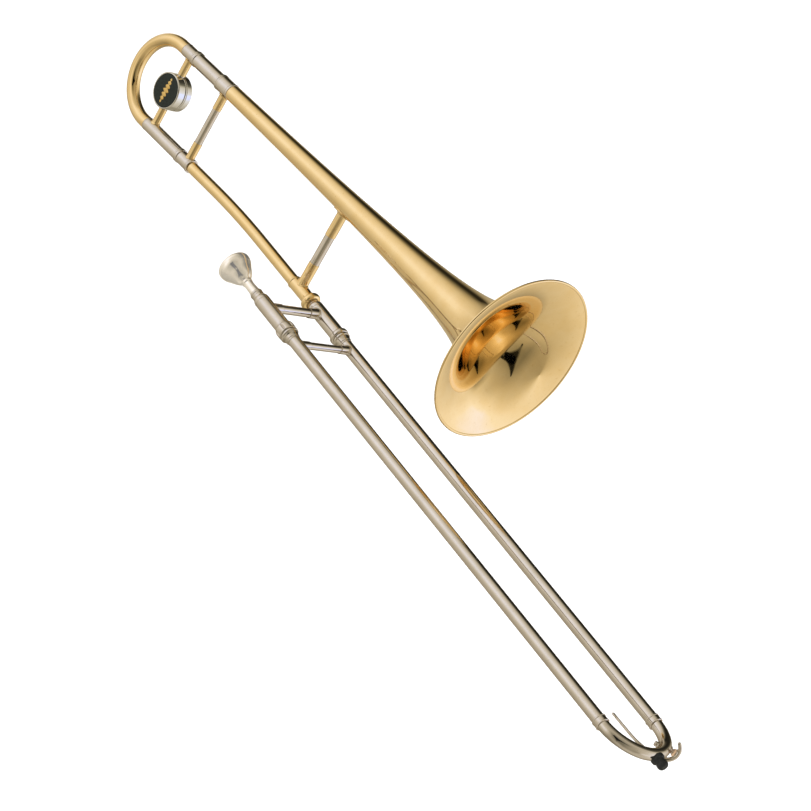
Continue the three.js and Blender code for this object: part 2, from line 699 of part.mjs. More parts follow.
const tuningBraceFrame = frameAt(0, TUNING.brace, 0, bellFrame);
brace(tuningBraceFrame, {
  label: 'tuning_brace', span: LEG_SPACING, radius: 5, tube: 4.2, material: brass,
  near: { name: 'upper', pipeRadius: 8.35, reach: 28.5, flange: [11.6, 12] },
  far: { name: 'lower', pipeRadius: 8.3, reach: 28.5, flange: [13, 12] },
});
const weightFrame = frameAt(LEG_SPACING / 2, 0, 0, tuningBraceFrame);
place('counterweight_front', weightHalf(1), chrome, weightFrame);
place('counterweight_back', weightHalf(-1), chrome, weightFrame);
place('counterweight_disc', weightDisc(), enamel, weightFrame);
place('counterweight_screw_rear', weightScrew(screwPlaces[0]), steel, weightFrame);
place('counterweight_screw_fore', weightScrew(screwPlaces[1]), steel, weightFrame);

export default trombone;
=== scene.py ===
import json
import math

import bmesh
import bpy
import numpy as np
from mathutils import Matrix, Vector


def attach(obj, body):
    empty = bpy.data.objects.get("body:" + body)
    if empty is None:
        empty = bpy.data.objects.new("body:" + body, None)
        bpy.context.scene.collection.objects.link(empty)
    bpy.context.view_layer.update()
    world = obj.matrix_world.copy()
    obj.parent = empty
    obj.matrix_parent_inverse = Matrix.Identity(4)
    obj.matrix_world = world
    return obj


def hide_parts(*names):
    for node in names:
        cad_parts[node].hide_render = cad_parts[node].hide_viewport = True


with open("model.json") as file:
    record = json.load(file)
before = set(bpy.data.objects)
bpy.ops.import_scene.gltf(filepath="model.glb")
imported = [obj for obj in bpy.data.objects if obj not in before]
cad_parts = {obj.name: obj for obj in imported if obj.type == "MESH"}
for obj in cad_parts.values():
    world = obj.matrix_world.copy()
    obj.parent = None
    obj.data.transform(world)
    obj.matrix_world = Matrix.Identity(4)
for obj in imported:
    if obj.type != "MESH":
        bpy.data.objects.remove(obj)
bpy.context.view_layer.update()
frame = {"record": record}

MM = 0.001
TAU = 2 * math.pi
QUARTER = math.pi / 2

# ---------------------------------------------------------------- sizes, as in the solids

HALF = 43.25                     # half the spacing of the slide tubes
BELL_ANGLE = math.radians(5.14)   # between the bell's axis and the slide
BELL_SWIVEL = math.radians(1.155)    # of the bell section round its slide tube, at rest
BEND_Y = -186.6                  # the gooseneck's bend
BEND_TO_RIM = 447.6
BEND_LENGTH = 50
LEG_SPACING = 103.9
RIM_RADIUS = 101.6
HORN_SCALE, HORN_OFFSET, HORN_POWER = 531, 14, 0.629    # see horn()
BELL_WALL = 0.6
BELL_TAIL = -547.7
OUTER_RADIUS = 7.15
CROOK_START, CROOK_BEND, CROOK_RADIUS = 653.5, 655.4, 6.7
CROOK_APEX = CROOK_BEND + HALF + CROOK_RADIUS
RIM_FACE_Y = -76
OUTER_BRACE_Y = 64.3
FRONT_BRACE, REAR_BRACE, TUNING_BRACE = -308, -558, -635.5
BOW_START, BOW_STRAIGHT, BOW_RADIUS = -647, 9, LEG_SPACING / 2
KEY_ANGLE = math.radians(50)      # where the water key sits round the bow
KEY_PIVOT = 11.8                 # distance of its pivot from the bow's centre line

FORWARD = Vector((-math.sin(BELL_ANGLE), math.cos(BELL_ANGLE), 0))
ACROSS = Vector((math.cos(BELL_ANGLE), math.sin(BELL_ANGLE), 0))

# ---------------------------------------------------------------- local frames, in millimetres

MOUTHPIECE_SIDE = Matrix.Translation((0, 0, HALF))
BELL_SIDE = Matrix.Translation((0, 0, -HALF))
BELL_SECTION = BELL_SIDE @ Matrix.Rotation(-BELL_SWIVEL, 4, "Y")
BELL = BELL_SECTION @ Matrix.Translation(
    Vector((0, BEND_Y, 0)) + FORWARD * BEND_TO_RIM - ACROSS * LEG_SPACING
) @ Matrix.Rotation(BELL_ANGLE, 4, "Z")
LEG = BELL @ Matrix.Translation((LEG_SPACING, 0, 0))
KEY = Matrix.Translation(
    (0, CROOK_BEND + HALF * math.sin(KEY_ANGLE), -HALF * math.cos(KEY_ANGLE))
) @ Matrix.Rotation(KEY_ANGLE - QUARTER, 4, "X")
APEX = Matrix.Translation((0, CROOK_APEX, 0))
ALONG_Z = Matrix.Rotation(-QUARTER, 4, "Y")
INNER_BRACE = BELL_SIDE @ ALONG_Z
OUTER_BRACE = Matrix.Translation((0, OUTER_BRACE_Y, -HALF)) @ ALONG_Z
REAR = BELL @ Matrix.Translation((0, REAR_BRACE, 0))
FRONT = BELL @ Matrix.Translation((0, FRONT_BRACE, 0))
TUNING = BELL @ Matrix.Translation((0, TUNING_BRACE, 0))
UPRIGHT = Matrix.Rotation(QUARTER, 4, "X")
WEIGHT = TUNING @ Matrix.Translation((LEG_SPACING / 2, 0, 0)) @ UPRIGHT
HERE = Matrix.Identity(4)

# ---------------------------------------------------------------- profiles and paths


def horn(y):
    """Outer radius of the bell at a station, measured forward from the rim."""
    return HORN_SCALE / (HORN_OFFSET - y) ** HORN_POWER


NEARLY_STRAIGHT = -0.985         # cosine between the two sides of a point that is no corner


def eased(points, ease=0.3, steps=3, closed=True):
    """The outline with each sharp corner rounded; a point may carry its own ease as a third number."""
    n = len(points)
    made = []
    for i, point in enumerate(points):
        here = np.array(point[:2], float)
        size = point[2] if len(point) > 2 else ease
        if (not closed and i in (0, n - 1)) or size <= 0:
            made.append(here)
            continue
        before = np.array(points[i - 1][:2], float) - here
        after = np.array(points[(i + 1) % n][:2], float) - here
        la, lb = np.linalg.norm(before), np.linalg.norm(after)
        if np.dot(before, after) / (la * lb) < NEARLY_STRAIGHT:
            made.append(here)
            continue
        cut = min(size, 0.45 * la, 0.45 * lb)
        start, end = here + before / la * cut, here + after / lb * cut
        for k in range(steps + 1):
            t = k / steps
            made.append((1 - t) ** 2 * start + 2 * t * (1 - t) * here + t * t * end)
    return made


def supported(points, inset=0.12, closed=True):
    """The outline with a point close to each end of its long edges, so that flats shade flat."""
    made = []
    n = len(points)
    for i, here in enumerate(points):
        made.append(here)
        if not closed and i == n - 1:
            break
        there = points[(i + 1) % n]
        length = np.linalg.norm(there - here)
        if length > 6 * inset:
            step = (there - here) / length * inset
            made += [here + step, there - step]
    return made


def divided(points, step):
    """The closed outline with no edge longer than step along the path."""
    made = []
    for i, here in enumerate(points):
        there = points[(i + 1) % len(points)]
        parts = max(1, math.ceil(abs(there[1] - here[1]) / step))
        made += [here + (there - here) * k / parts for k in range(parts)]
    return made


def spline(points, per_span=6):
    """Points along a Catmull-Rom curve through the given ones."""
    p = np.array(points, float)
    p = np.vstack([2 * p[0] - p[1], p, 2 * p[-1] - p[-2]])
    made = []
    for i in range(1, len(p) - 2):
        for k in range(per_span):
            t = k / per_span
            made.append(
                0.5
                * (
                    2 * p[i]
                    + (p[i + 1] - p[i - 1]) * t
                    + (2 * p[i - 1] - 5 * p[i] + 4 * p[i + 1] - p[i + 2]) * t * t
                    + (3 * p[i] - p[i - 1] - 3 * p[i + 1] + p[i + 2]) * t**3
                )
            )
    made.append(p[-2])
    return made


class Path:
    """A line through space that a profile is swept along, by its length."""

    def __init__(self, points, normal):
        self.points = np.array(points, float)
        steps = np.diff(self.points, axis=0)
        lengths = np.linalg.norm(steps, axis=1)
        self.station = np.concatenate([[0], np.cumsum(lengths)])
        tangents = np.gradient(self.points, self.station, axis=0)
        tangents /= np.linalg.norm(tangents, axis=1)[:, None]
        normals = []
        current = np.array(normal, float)
        for tangent in tangents:
            current = current - tangent * current.dot(tangent)
            current /= np.linalg.norm(current)
            normals.append(current)
        self.tangents, self.normals = tangents, np.array(normals)

    @property
    def length(self):
        return self.station[-1]

    def _at(self, values, s):
        return np.stack([np.interp(s, self.station, values[:, i]) for i in range(3)], 1)

    def frame_at(self, s):
        p, t = self._at(self.points, s), self._at(self.tangents, s)
        n = self._at(self.normals, s)
        t /= np.linalg.norm(t, axis=1)[:, None]
        n -= t * (n * t).sum(1)[:, None]
        n /= np.linalg.norm(n, axis=1)[:, None]
        over = s - np.clip(s, 0, self.length)
        return p + t * over[:, None], n, np.cross(t, n)


# ---------------------------------------------------------------- shapes
# A shape is its corners, its unrolled corners for the materials, and its faces.


def strips(rows, sides, closed=False):
    """The faces between rows of corners, each row a closed ring; closed joins the last row to the first."""
    faces = []
    for i in range(rows if closed else rows - 1):
        a, c = i * sides, (i + 1) % rows * sides
        for k in range(sides):
            m = (k + 1) % sides
            faces.append((a + k, c + k, c + m, a + m))
    return faces


def revolve(loop, path=None, sides=72, closed=True, squeeze=1.0):
    """A profile of (radius, station) turned about local Y or a path. squeeze flattens it sideways."""
    loop = np.array(loop, float)
    radius, station = loop[:, 0], loop[:, 1]
    if path is None:
        zero = np.zeros_like(station)
        origin = np.stack([zero, station, zero], 1)
        n = np.tile([1.0, 0, 0], (len(loop), 1))
        b = np.tile([0, 0, 1.0], (len(loop), 1))
    else:
        origin, n, b = path.frame_at(station)
    turn = np.linspace(0, TAU, sides, endpoint=False)
    cos, sin = np.cos(turn), np.sin(turn) * squeeze
    spread = cos[None, :, None] * n[:, None] + sin[None, :, None] * b[:, None]
    corners = origin[:, None] + radius[:, None, None] * spread
    lay = np.stack(
        [
            radius[:, None] * cos[None],
            np.repeat(station[:, None], sides, 1),
            radius[:, None] * sin[None],
        ],
        2,
    )
    return corners.reshape(-1, 3), lay.reshape(-1, 3), strips(len(loop), sides, closed)


def turned(outside, inside, ease=0.3, sides=72):
    """A hollow turned piece; both walls are listed from low to high stations."""
    return revolve(supported(eased([*outside, *inside[::-1]], ease)), sides=sides)


def knob(outline, ease=0.3, sides=48, path=None):
    """A solid turned piece, from a pole at one end to a pole at the other."""
    points = eased([(0, outline[0][1]), *outline, (0, outline[-1][1])], ease, closed=False)
    return revolve(supported(points, closed=False), path, sides, closed=False)


def bent(outer, inner, start, end, path, step=2.0, sides=64, ease=0.2):
    """A tube of even wall along a path."""
    loop = eased([(outer, start), (outer, end), (inner, end), (inner, start)], ease)
    return revolve(divided(loop, step), path, sides)


def moved(shape, matrix):
    corners, lay, faces = shape
    m = np.array(matrix)
    return corners @ m[:3, :3].T + m[:3, 3], lay, faces


def rod(points, radius, normal=(0, 0, 1), sides=24, squeeze=1.0, taper=None, per_span=8):
    """A round or flattened bar through the points, with round ends. taper gives factors of the radius
    by share of the length."""
    path = Path(spline(points, per_span), normal)
    length = path.length
    cap = min(radius, length / 4)
    round_end = np.linspace(0, QUARTER, 6)
    stations = list(cap - cap * np.cos(round_end))
    stations += list(np.linspace(cap, length - cap, max(4, int(length / 1.2)))[1:-1])
    stations += list(length - cap + cap * np.sin(round_end))
    outline = []
    for s in stations:
        near = min(s, length - s)
        factor = math.sqrt(max(0.0, 1 - (1 - min(near / cap, 1)) ** 2))
        if taper:
            factor *= np.interp(s / length, *zip(*taper))
        outline.append((radius * factor, s))
    outline[0], outline[-1] = (0, 0), (0, length)
    return revolve(outline, path, sides, closed=False, squeeze=squeeze)


def saddle(height, radius, bore, reach, length, width, thick=0.9, fillet=2.2, power=1.75, sides=96):
    """A soldered flange on a pipe along local Y, with a socket along +X.
    height(y, z) is how far the pipe's surface stands from its axis."""
    turn = np.linspace(0, TAU, sides, endpoint=False)
    cos, sin = np.cos(turn), np.sin(turn)
    edge = (np.abs(cos / (length / 2)) ** power + np.abs(sin / (width / 2)) ** power) ** (-1 / power)
    edge = np.maximum(edge, radius + 0.25)
    swell = np.minimum(fillet, (edge - radius) * 0.85)

    def ring(rho, x):
        y, z = rho * cos, rho * sin
        return np.stack([x(y, z) if callable(x) else np.full(sides, float(x)), y, z], 1)

    rows = []
    for rho, x in (
        (0.0, reach - 5), (bore, reach - 5), (bore, reach - 0.5), (bore + 0.15, reach - 0.12),
        (bore + 0.4, reach), (radius - 0.4, reach), (radius - 0.12, reach - 0.12), (radius, reach - 0.4),
        (radius, reach - 0.6),
    ):
        rows.append(ring(rho, x))
    for turn_up in np.linspace(0, QUARTER, 7):
        rho = radius + swell * (1 - math.cos(turn_up))
        rise = swell * (1 - math.sin(turn_up))
        rows.append(ring(rho, lambda y, z, rise=rise: height(y, z) + thick + rise))
    for inset, drop in ((0.35, 0), (0.1, 0.06), (0, 0.3), (0, thick)):
        rows.append(ring(edge - inset, lambda y, z, drop=drop: height(y, z) + thick - drop))
    rows.append(ring(edge * 0.6, lambda y, z: height(y, z) + 0.02))
    rows.append(ring(0.0, lambda y, z: height(y, z) + 0.02))
    corners = np.concatenate(rows)
    return corners, corners[:, [1, 0, 2]], strips(len(rows), sides)


# ---------------------------------------------------------------- node materials


class Nodes:
    """A short way to write a node tree."""

    def __init__(self, tree):
        self.tree = tree

    def __call__(self, kind, links=None, **settings):
        node = self.tree.nodes.new(kind)
        for key, value in settings.items():
            setattr(node, key, value)
        for key, value in (links or {}).items():
            socket = node.inputs[key]
            if isinstance(value, bpy.types.NodeSocket):
                self.tree.links.new(value, socket)
            else:
                socket.default_value = value
        return node

    def math(self, operation, *values, clamp=False):
        node = self("ShaderNodeMath", dict(enumerate(values)), operation=operation, use_clamp=clamp)
        return node.outputs[0]

    def ramp(self, factor, stops):
        node = self("ShaderNodeValToRGB", {"Fac": factor})
        elements = node.color_ramp.elements
        elements.remove(elements[1])
        elements[0].position = stops[0][0]
        elements[0].color = (*stops[0][1], 1)
        for position, colour in stops[1:]:
            elements.new(position).color = (*colour, 1)
        return node.outputs["Color"]

    def blend(self, share, first, second):
        node = self("ShaderNodeMix", {"Factor": share}, data_type="RGBA")
        for socket, value in zip([s for s in node.inputs if s.type == "RGBA"], (first, second)):
            if isinstance(value, bpy.types.NodeSocket):
                self.tree.links.new(value, socket)
            else:
                socket.default_value = (*value, 1)
        return next(s for s in node.outputs if s.type == "RGBA")

    def noise(self, vector, scale, detail=3.0, roughness=0.55):
        return self(
            "ShaderNodeTexNoise",
            {"Vector": vector, "Scale": scale, "Detail": detail, "Roughness": roughness},
        ).outputs["Fac"]

    def stretched(self, vector, scale):
        return self("ShaderNodeMapping", {"Vector": vector, "Scale": scale}).outputs["Vector"]

    def spread(self, value, low, high):
        """A noise value as a number from low to high."""
        return self(
            "ShaderNodeMapRange",
            {"Value": value, "From Min": 0.3, "From Max": 0.7, "To Min": low, "To Max": high},
        ).outputs["Result"]


def blank(name):
    """A material with one Principled shader."""
    material = bpy.data.materials.new(name)
    material.use_nodes = True
    tree = material.node_tree
    tree.nodes.clear()
    nodes = Nodes(tree)
    output = nodes("ShaderNodeOutputMaterial")
    shader = nodes("ShaderNodeBsdfPrincipled")
    tree.links.new(shader.outputs[0], output.inputs["Surface"])
    return material, nodes, shader


def unrolled(nodes):
    """Each piece's own unrolled coordinates, in metres."""
    return nodes("ShaderNodeAttribute", attribute_name="lay").outputs["Vector"]


def metal(name, light, deep, stain, rough, lines, line_depth, lacquer=False, edge=(1, 1, 1), metallic=1.0):
    """Polished metal: slow colour change, faint tarnish, fine drawn or spun lines and handling marks."""
    material, nodes, shader = blank(name)
    lay = unrolled(nodes)
    cloud = nodes.noise(lay, 45, 4)
    spots = nodes.noise(lay, 260, 5, 0.65)
    hairs = nodes.noise(nodes.stretched(lay, lines), 1.0, 4, 0.6)
    base = nodes.ramp(cloud, [(0.32, deep), (0.62, light)])
    dirt = nodes.ramp(spots, [(0.60, (0, 0, 0)), (0.80, (0.5, 0.5, 0.5))])
    nodes.tree.links.new(nodes.blend(dirt, base, stain), shader.inputs["Base Color"])
    hair_wear = nodes.spread(hairs, 0.0, rough * 0.55)
    spot_wear = nodes.spread(spots, rough * 0.7, rough * 1.15)
    nodes.tree.links.new(nodes.math("ADD", hair_wear, spot_wear), shader.inputs["Roughness"])
    shader.inputs["Metallic"].default_value = metallic
    shader.inputs["Specular Tint"].default_value = (*edge, 1)
    if lacquer:
        shader.inputs["Coat Weight"].default_value = 0.35
        shader.inputs["Coat Roughness"].default_value = 0.04
        shader.inputs["Coat IOR"].default_value = 1.5
        shader.inputs["Coat Tint"].default_value = (1.0, 0.97, 0.88, 1)
    bump = nodes("ShaderNodeBump", {"Strength": 0.35, "Distance": line_depth * MM, "Height": hairs})
    nodes.tree.links.new(bump.outputs["Normal"], shader.inputs["Normal"])
    return material


def dull(name, light, deep, scale, rough, depth, sheen=0.0, specular=0.5, stretch=(1, 1, 1)):
    """A non-metal: two tones in a grain, with a matching relief."""
    material, nodes, shader = blank(name)
    lay = nodes.stretched(unrolled(nodes), stretch)
    grain = nodes.noise(lay, scale, 6, 0.62)
    cells = nodes(
        "ShaderNodeTexVoronoi", {"Vector": lay, "Scale": scale * 1.7}, feature="F1"
    ).outputs["Distance"]
    relief = nodes.math("MULTIPLY_ADD", cells, 0.4, grain)
    colour = nodes.ramp(grain, [(0.34, deep), (0.66, light)])
    nodes.tree.links.new(colour, shader.inputs["Base Color"])
    nodes.tree.links.new(nodes.spread(grain, rough[0], rough[1]), shader.inputs["Roughness"])
    bump = nodes("ShaderNodeBump", {"Strength": 0.6, "Distance": depth * MM, "Height": relief})
    nodes.tree.links.new(bump.outputs["Normal"], shader.inputs["Normal"])
    shader.inputs["Sheen Weight"].default_value = sheen
    shader.inputs["Specular IOR Level"].default_value = specular
    return material


DRAWN = (700, 9, 700)            # lines along a tube
SPUN = (18, 1500, 18)            # lines round a turned piece

BRASS = ((0.93, 0.72, 0.40), (0.91, 0.68, 0.345), (0.70, 0.44, 0.15))      # light, deep and stained
NICKEL = ((0.74, 0.69, 0.64), (0.68, 0.63, 0.57), (0.50, 0.43, 0.33))
NICKEL_EDGE = (0.62, 0.57, 0.5)
CHROME = ((0.72, 0.71, 0.67), (0.66, 0.65, 0.62), (0.55, 0.55, 0.54))
SILVER = ((0.97, 0.92, 0.86), (0.92, 0.87, 0.8), (0.6, 0.55, 0.46))
STEEL = ((0.52, 0.52, 0.54), (0.43, 0.43, 0.45), (0.22, 0.19, 0.16))
GILT = ((0.83, 0.60, 0.24), (0.70, 0.46, 0.15), (0.4, 0.22, 0.06))
RUBBER = ((0.016, 0.017, 0.016), (0.006, 0.006, 0.006))
CORK = ((0.62, 0.43, 0.26), (0.30, 0.18, 0.10))
FELT = ((0.32, 0.06, 0.05), (0.15, 0.025, 0.02))
ENAMEL = ((0.011, 0.016, 0.013), (0.006, 0.008, 0.007))
materials = {
    "brass_spun": metal("lacquered_brass_spun", *BRASS, 0.045, SPUN, 0.0007, lacquer=True),
    "brass_drawn": metal("lacquered_brass_drawn", *BRASS, 0.05, DRAWN, 0.0008, lacquer=True),
    "nickel_drawn": metal("nickel_silver_drawn", *NICKEL, 0.09, DRAWN, 0.0012, edge=NICKEL_EDGE),
    "nickel_spun": metal("nickel_silver_spun", *NICKEL, 0.055, SPUN, 0.001, edge=NICKEL_EDGE),
    "chrome": metal("chrome_plate", *CHROME, 0.05, SPUN, 0.0006),
    "silver": metal("silver_plate", *SILVER, 0.035, SPUN, 0.0005, metallic=0.86),
    "steel": metal("steel_screw", *STEEL, 0.24, SPUN, 0.006),
    "rubber": dull("black_rubber", *RUBBER, 900, (0.36, 0.55), 0.03, specular=0.22),
    "cork": dull("key_cork", *CORK, 700, (0.75, 0.95), 0.12),
    "felt": dull("slide_felt", *FELT, 1500, (0.85, 1.0), 0.15, sheen=0.4, stretch=(1, 0.35, 1)),
    "enamel": dull("black_enamel", *ENAMEL, 500, (0.16, 0.26), 0.004, specular=0.2),
    "gilt": metal("gilt_inlay", *GILT, 0.22, SPUN, 0.004),
}

# ---------------------------------------------------------------- making a piece

BODY_OF = {node: body for body, nodes in frame["record"]["behaviour"]["bodies"].items() for node in nodes}


def piece(node, shapes, matrix, material, name=None, crease=None):
    """One visible piece on a CAD node's body; it stands in for the node unless it has a name of its own."""
    corners, lays, faces = [], [], []
    for shape_corners, shape_lay, shape_faces in shapes:
        offset = sum(len(earlier) for earlier in corners)
        corners.append(shape_corners)
        lays.append(shape_lay)
        faces += [tuple(i + offset for i in face) for face in shape_faces]
    m = np.array(matrix)
    world = (np.concatenate(corners) @ m[:3, :3].T + m[:3, 3]) * MM
    mesh = bpy.data.meshes.new(name or f"{node}_surface")
    mesh.from_pydata(world.tolist(), [], faces)
    lay = mesh.attributes.new("lay", "FLOAT_VECTOR", "POINT")
    lay.data.foreach_set("vector", (np.concatenate(lays) * MM).astype(np.float32).ravel())
    bm = bmesh.new()
    bm.from_mesh(mesh)
    bmesh.ops.remove_doubles(bm, verts=bm.verts, dist=2e-7)
    bmesh.ops.dissolve_degenerate(bm, edges=bm.edges, dist=1e-8)
    bmesh.ops.recalc_face_normals(bm, faces=bm.faces)
    for face in bm.faces:
        face.smooth = True
    if crease:
        for edge in bm.edges:
            edge.smooth = not (len(edge.link_faces) == 2 and edge.calc_face_angle(0) > crease)
    bm.to_mesh(mesh)
    bm.free()
    mesh.materials.append(materials[material])
    obj = bpy.data.objects.new(mesh.name, mesh)
    bpy.context.scene.collection.objects.link(obj)
    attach(obj, BODY_OF[node])
    if not name:
        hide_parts(node)


# ---------------------------------------------------------------- mouthpiece and receiver

cup_outside = spline(
    [(14.6, 0.35), (16.2, 0), (17.7, 0.25), (18.9, 1.1), (19.5, 2.4), (19.6, 4), (19.3, 6.3), (18.3, 9.3),
     (16.9, 12), (15, 15.6), (12.9, 20), (10.9, 23.6), (8.9, 26.5), (6.8, 28.7), (5.9, 29.8), (5.55, 30.8),
     (5.9, 31.5), (6.25, 32.3), (6.2, 33.1), (5.7, 33.9), (5.5, 35.2), (5.55, 42), (6.15, 51)], 5)
cup_inside = spline(
    [(3.25, 26), (3.5, 23.4), (5.2, 20.6), (7.4, 17.9), (9.2, 15), (10.7, 11.5), (11.6, 8), (12.2, 5),
     (12.8, 2.4), (13.5, 1), (14.6, 0.35)], 5)
shank = eased([(6.15, 51, 0), (5.55, 76.5), (4.9, 76.5), (3.25, 26, 0)], 0.25, closed=False)
mouth_loop = [*cup_outside, *supported(shank, closed=False)[1:-1], *cup_inside[:-1]]
piece("mouthpiece", [revolve([(radius, y + RIM_FACE_Y) for radius, y in mouth_loop], sides=128)],
      MOUTHPIECE_SIDE, "silver")

piece("mouthpiece_receiver", [turned(
    [(6.9, -25), (7.35, -24.2), (7.35, -22.2), (6.9, -21.7), (6.9, -20.6), (7.1, -20.2), (7.1, -19.4),
     (6.9, -19), (6.9, 1.5)],
    [(6.35, -25), (5.75, 1.5)])], MOUTHPIECE_SIDE, "nickel_spun")
piece("leadpipe", [turned([(6, 2.1), (6, 180)], [(5.5, 2.1), (5.5, 180)], 0.1)],
      MOUTHPIECE_SIDE, "brass_drawn")

# ---------------------------------------------------------------- inner slide

piece("slide_tenon", [turned(
    [(6.6, -51), (6.9, -27), (6.9, -23.7), (8, -23.7), (8, -21.6), (6.9, -21.6), (6.9, 1.5)],
    [(6.15, -51), (6.15, 1.5)])], BELL_SIDE, "nickel_spun")

BARREL_NECK = 7.15               # bore of each barrel's neck, a quarter of a millimetre over the tube in it
piece("cork_barrel_mouthpiece_side", [turned(
    [(7.3, -16), (7.7, -15.8), (8.6, -13.8), (9, -12), (9, -11), (9, -9.6), (8.82, -9.3), (8.82, -8.8),
     (9, -8.5), (9, 33.4), (9.25, 33.7), (9.25, 34.8), (8.6, 35), (8.6, 44)],
    [(BARREL_NECK, -16), (BARREL_NECK, -12), (8.5, -10.5), (8.5, 33), (8.2, 34), (8.2, 44)], 0.35)],
    MOUTHPIECE_SIDE, "nickel_drawn")
piece("cork_barrel_bell_side", [turned(
    [(7.3, -16), (7.7, -15.8), (8.6, -13.8), (9, -12), (9, -9.6), (8.82, -9.3), (8.82, -8.8), (9, -8.5),
     (9, 35.2), (10.5, 36), (11.3, 37.4), (11.35, 38.8), (11.3, 40.2), (10.5, 41.6), (9.4, 42.1)],
    [(BARREL_NECK, -16), (BARREL_NECK, -12), (8.5, -10.5), (8.5, 42.1)], 0.6)],
    BELL_SIDE, "nickel_drawn")

for side, matrix in (("mouthpiece_side", MOUTHPIECE_SIDE), ("bell_side", BELL_SIDE)):
    piece(f"inner_tube_{side}", [turned(
        [(6.5, 1.8), (6.5, 535), (6.65, 538), (6.65, 645)], [(6.15, 1.8), (6.15, 645)], 0.15)],
        matrix, "chrome")
    piece(f"cork_bumper_{side}", [turned([(8.3, 3), (8.3, 26.5)], [(6.65, 3), (6.65, 26.5)], 0.4)],
          matrix, "felt")
    piece(f"outer_tube_{side}", [turned(
        [(OUTER_RADIUS, 27), (OUTER_RADIUS, 653.2)], [(6.8, 27), (6.8, 653.2)], 0.1, 96)],
        matrix, "nickel_drawn")
    piece(f"bow_ferrule_{side}", [turned(
        [(7.5, 648.4), (8.05, 648.8), (8.05, 650), (7.7, 650.3), (7.7, 655.1), (8.05, 655.4), (8.05, 656.6),
         (7.5, 657)],
        [(7.2, 648.4), (7.2, 653.5), (6.75, 653.5), (6.75, 657)], 0.3)], matrix, "nickel_spun")


def scalloped(shape, count, depth, low, high):
    """Presses shallow finger grooves along Y into the outer wall between two stations."""
    corners, lay, faces = shape
    corners = corners.copy()
    radius = np.hypot(corners[:, 0], corners[:, 2])
    turn = np.arctan2(corners[:, 2], corners[:, 0])
    middle, half = (low + high) / 2, (high - low) / 2
    along = np.clip(1 - ((corners[:, 1] - middle) / half) ** 2, 0, 1) ** 0.5
    groove = np.clip(np.cos(turn * count), 0, 1) ** 6
    outer = radius > radius.max() - 2.6
    factor = np.where(outer, 1 - depth * along * groove / np.maximum(radius, 1), 1)
    corners[:, 0] *= factor
    corners[:, 2] *= factor
    return corners, lay, faces


lock_ring_outline = np.array([
    (9.6, 35.3), (10.7, 36.1), (11.1, 38.2), (11.1, 42.6), (10.9, 45.6), (10.2, 46.5), (8.75, 46.5),
    (8.75, 35.3)])
lock_ring = revolve(supported(eased(divided(lock_ring_outline, 0.8), 0.5)), sides=144)
piece("slide_lock_ring", [scalloped(lock_ring, 6, 1.5, 36.6, 45.2)], MOUTHPIECE_SIDE, "nickel_spun")
nut = revolve(supported(eased(
    [(9.2, -27.6), (10.9, -26.6), (11.75, -24.6), (11.85, -23.1), (11.75, -21.6), (10.9, -19.6),
     (9.2, -18.6), (7.15, -18.6), (7.15, -21.3), (8.25, -21.3), (8.25, -27.6)], 0.9, 5)), sides=144)
piece("bell_lock_nut", [nut], BELL_SIDE, "brass_spun")

# ---------------------------------------------------------------- outer slide

for side, matrix, wide, top, end in (
    ("mouthpiece_side", MOUTHPIECE_SIDE, 10.8, 47, 58.5), ("bell_side", BELL_SIDE, 10.4, 42.6, 54),
):
    piece(f"top_ferrule_{side}", [turned(
        [(wide - 0.8, top), (wide, top + 0.7), (wide, top + 2.6), (wide - 1.1, top + 3.6),
         (wide - 1.3, top + 4.4), (8.7, top + 5.8), (8.3, end - 3.2), (8.3, end - 2.4), (7.9, end - 1.9),
         (7.6, end)],
        [(7.25, top), (7.25, end)], 0.5)], matrix, "nickel_spun")

arc = np.linspace(0, math.pi, 181)
crook_points = [(0, CROOK_START, -HALF)]
crook_points += [(0, CROOK_BEND + HALF * math.sin(a), -HALF * math.cos(a)) for a in arc]
crook_points += [(0, CROOK_START, HALF)]
crook_path = Path(crook_points, (0, 0, -1))
piece("slide_bow", [bent(6.7, 6.2, 0, crook_path.length, crook_path, 1.6, 72)], HERE, "nickel_drawn")

piece("bumper_post", [knob([(2.2, -0.3), (2.2, 6.6)])], APEX, "nickel_spun")
bumper = eased(
    [(0, -2.8), (6.2, -2.8), (7.0, -2.8, 0.4), (7.3, -2.1), (7.3, 1.2), (6.7, 2.2), (5.7, 2.7), (5.4, 3.5),
     (5.5, 4.7), (6.0, 6.2), (6.0, 8.6), (5.3, 10.7), (4.0, 11.8), (2.9, 12.1), (0, 12.1)],
    0.6, 4, closed=False)
piece("rubber_bumper", [revolve(supported(bumper, closed=False), sides=96, closed=False)], APEX, "rubber")


TUBE_IN_SOCKET = 5.7


def braced(label, matrix, span, radius, tube, near, far, material, tube_material="nickel_drawn"):
    """Two soldered sockets and the tube between them, along local +X. near and far each give the end's
    name, the socket's reach, its flange's length and width, and the surface that it stands on."""
    opposite = matrix @ Matrix.Translation((span, 0, 0)) @ Matrix.Rotation(math.pi, 4, "Z")
    for (end, reach, length, width, height), place in ((near, matrix), (far, opposite)):
        piece(f"{label}_socket_{end}", [saddle(height, radius, tube + 0.05, reach, length, width)],
              place, material)
    start, stop = near[1] - TUBE_IN_SOCKET, span - far[1] + TUBE_IN_SOCKET
    bore = tube - 0.8
    piece(f"{label}_tube", [turned([(tube, start), (tube, stop)], [(bore, start), (bore, stop)], 0.2)],
          matrix @ Matrix.Rotation(-QUARTER, 4, "Z"), tube_material)


def on_pipe(pipe, lean=0.0):
    """Height of a round pipe's surface that leans from local Y towards +X."""
    return lambda y, z: np.sqrt(pipe**2 - z**2) / math.cos(lean) + y * math.tan(lean)


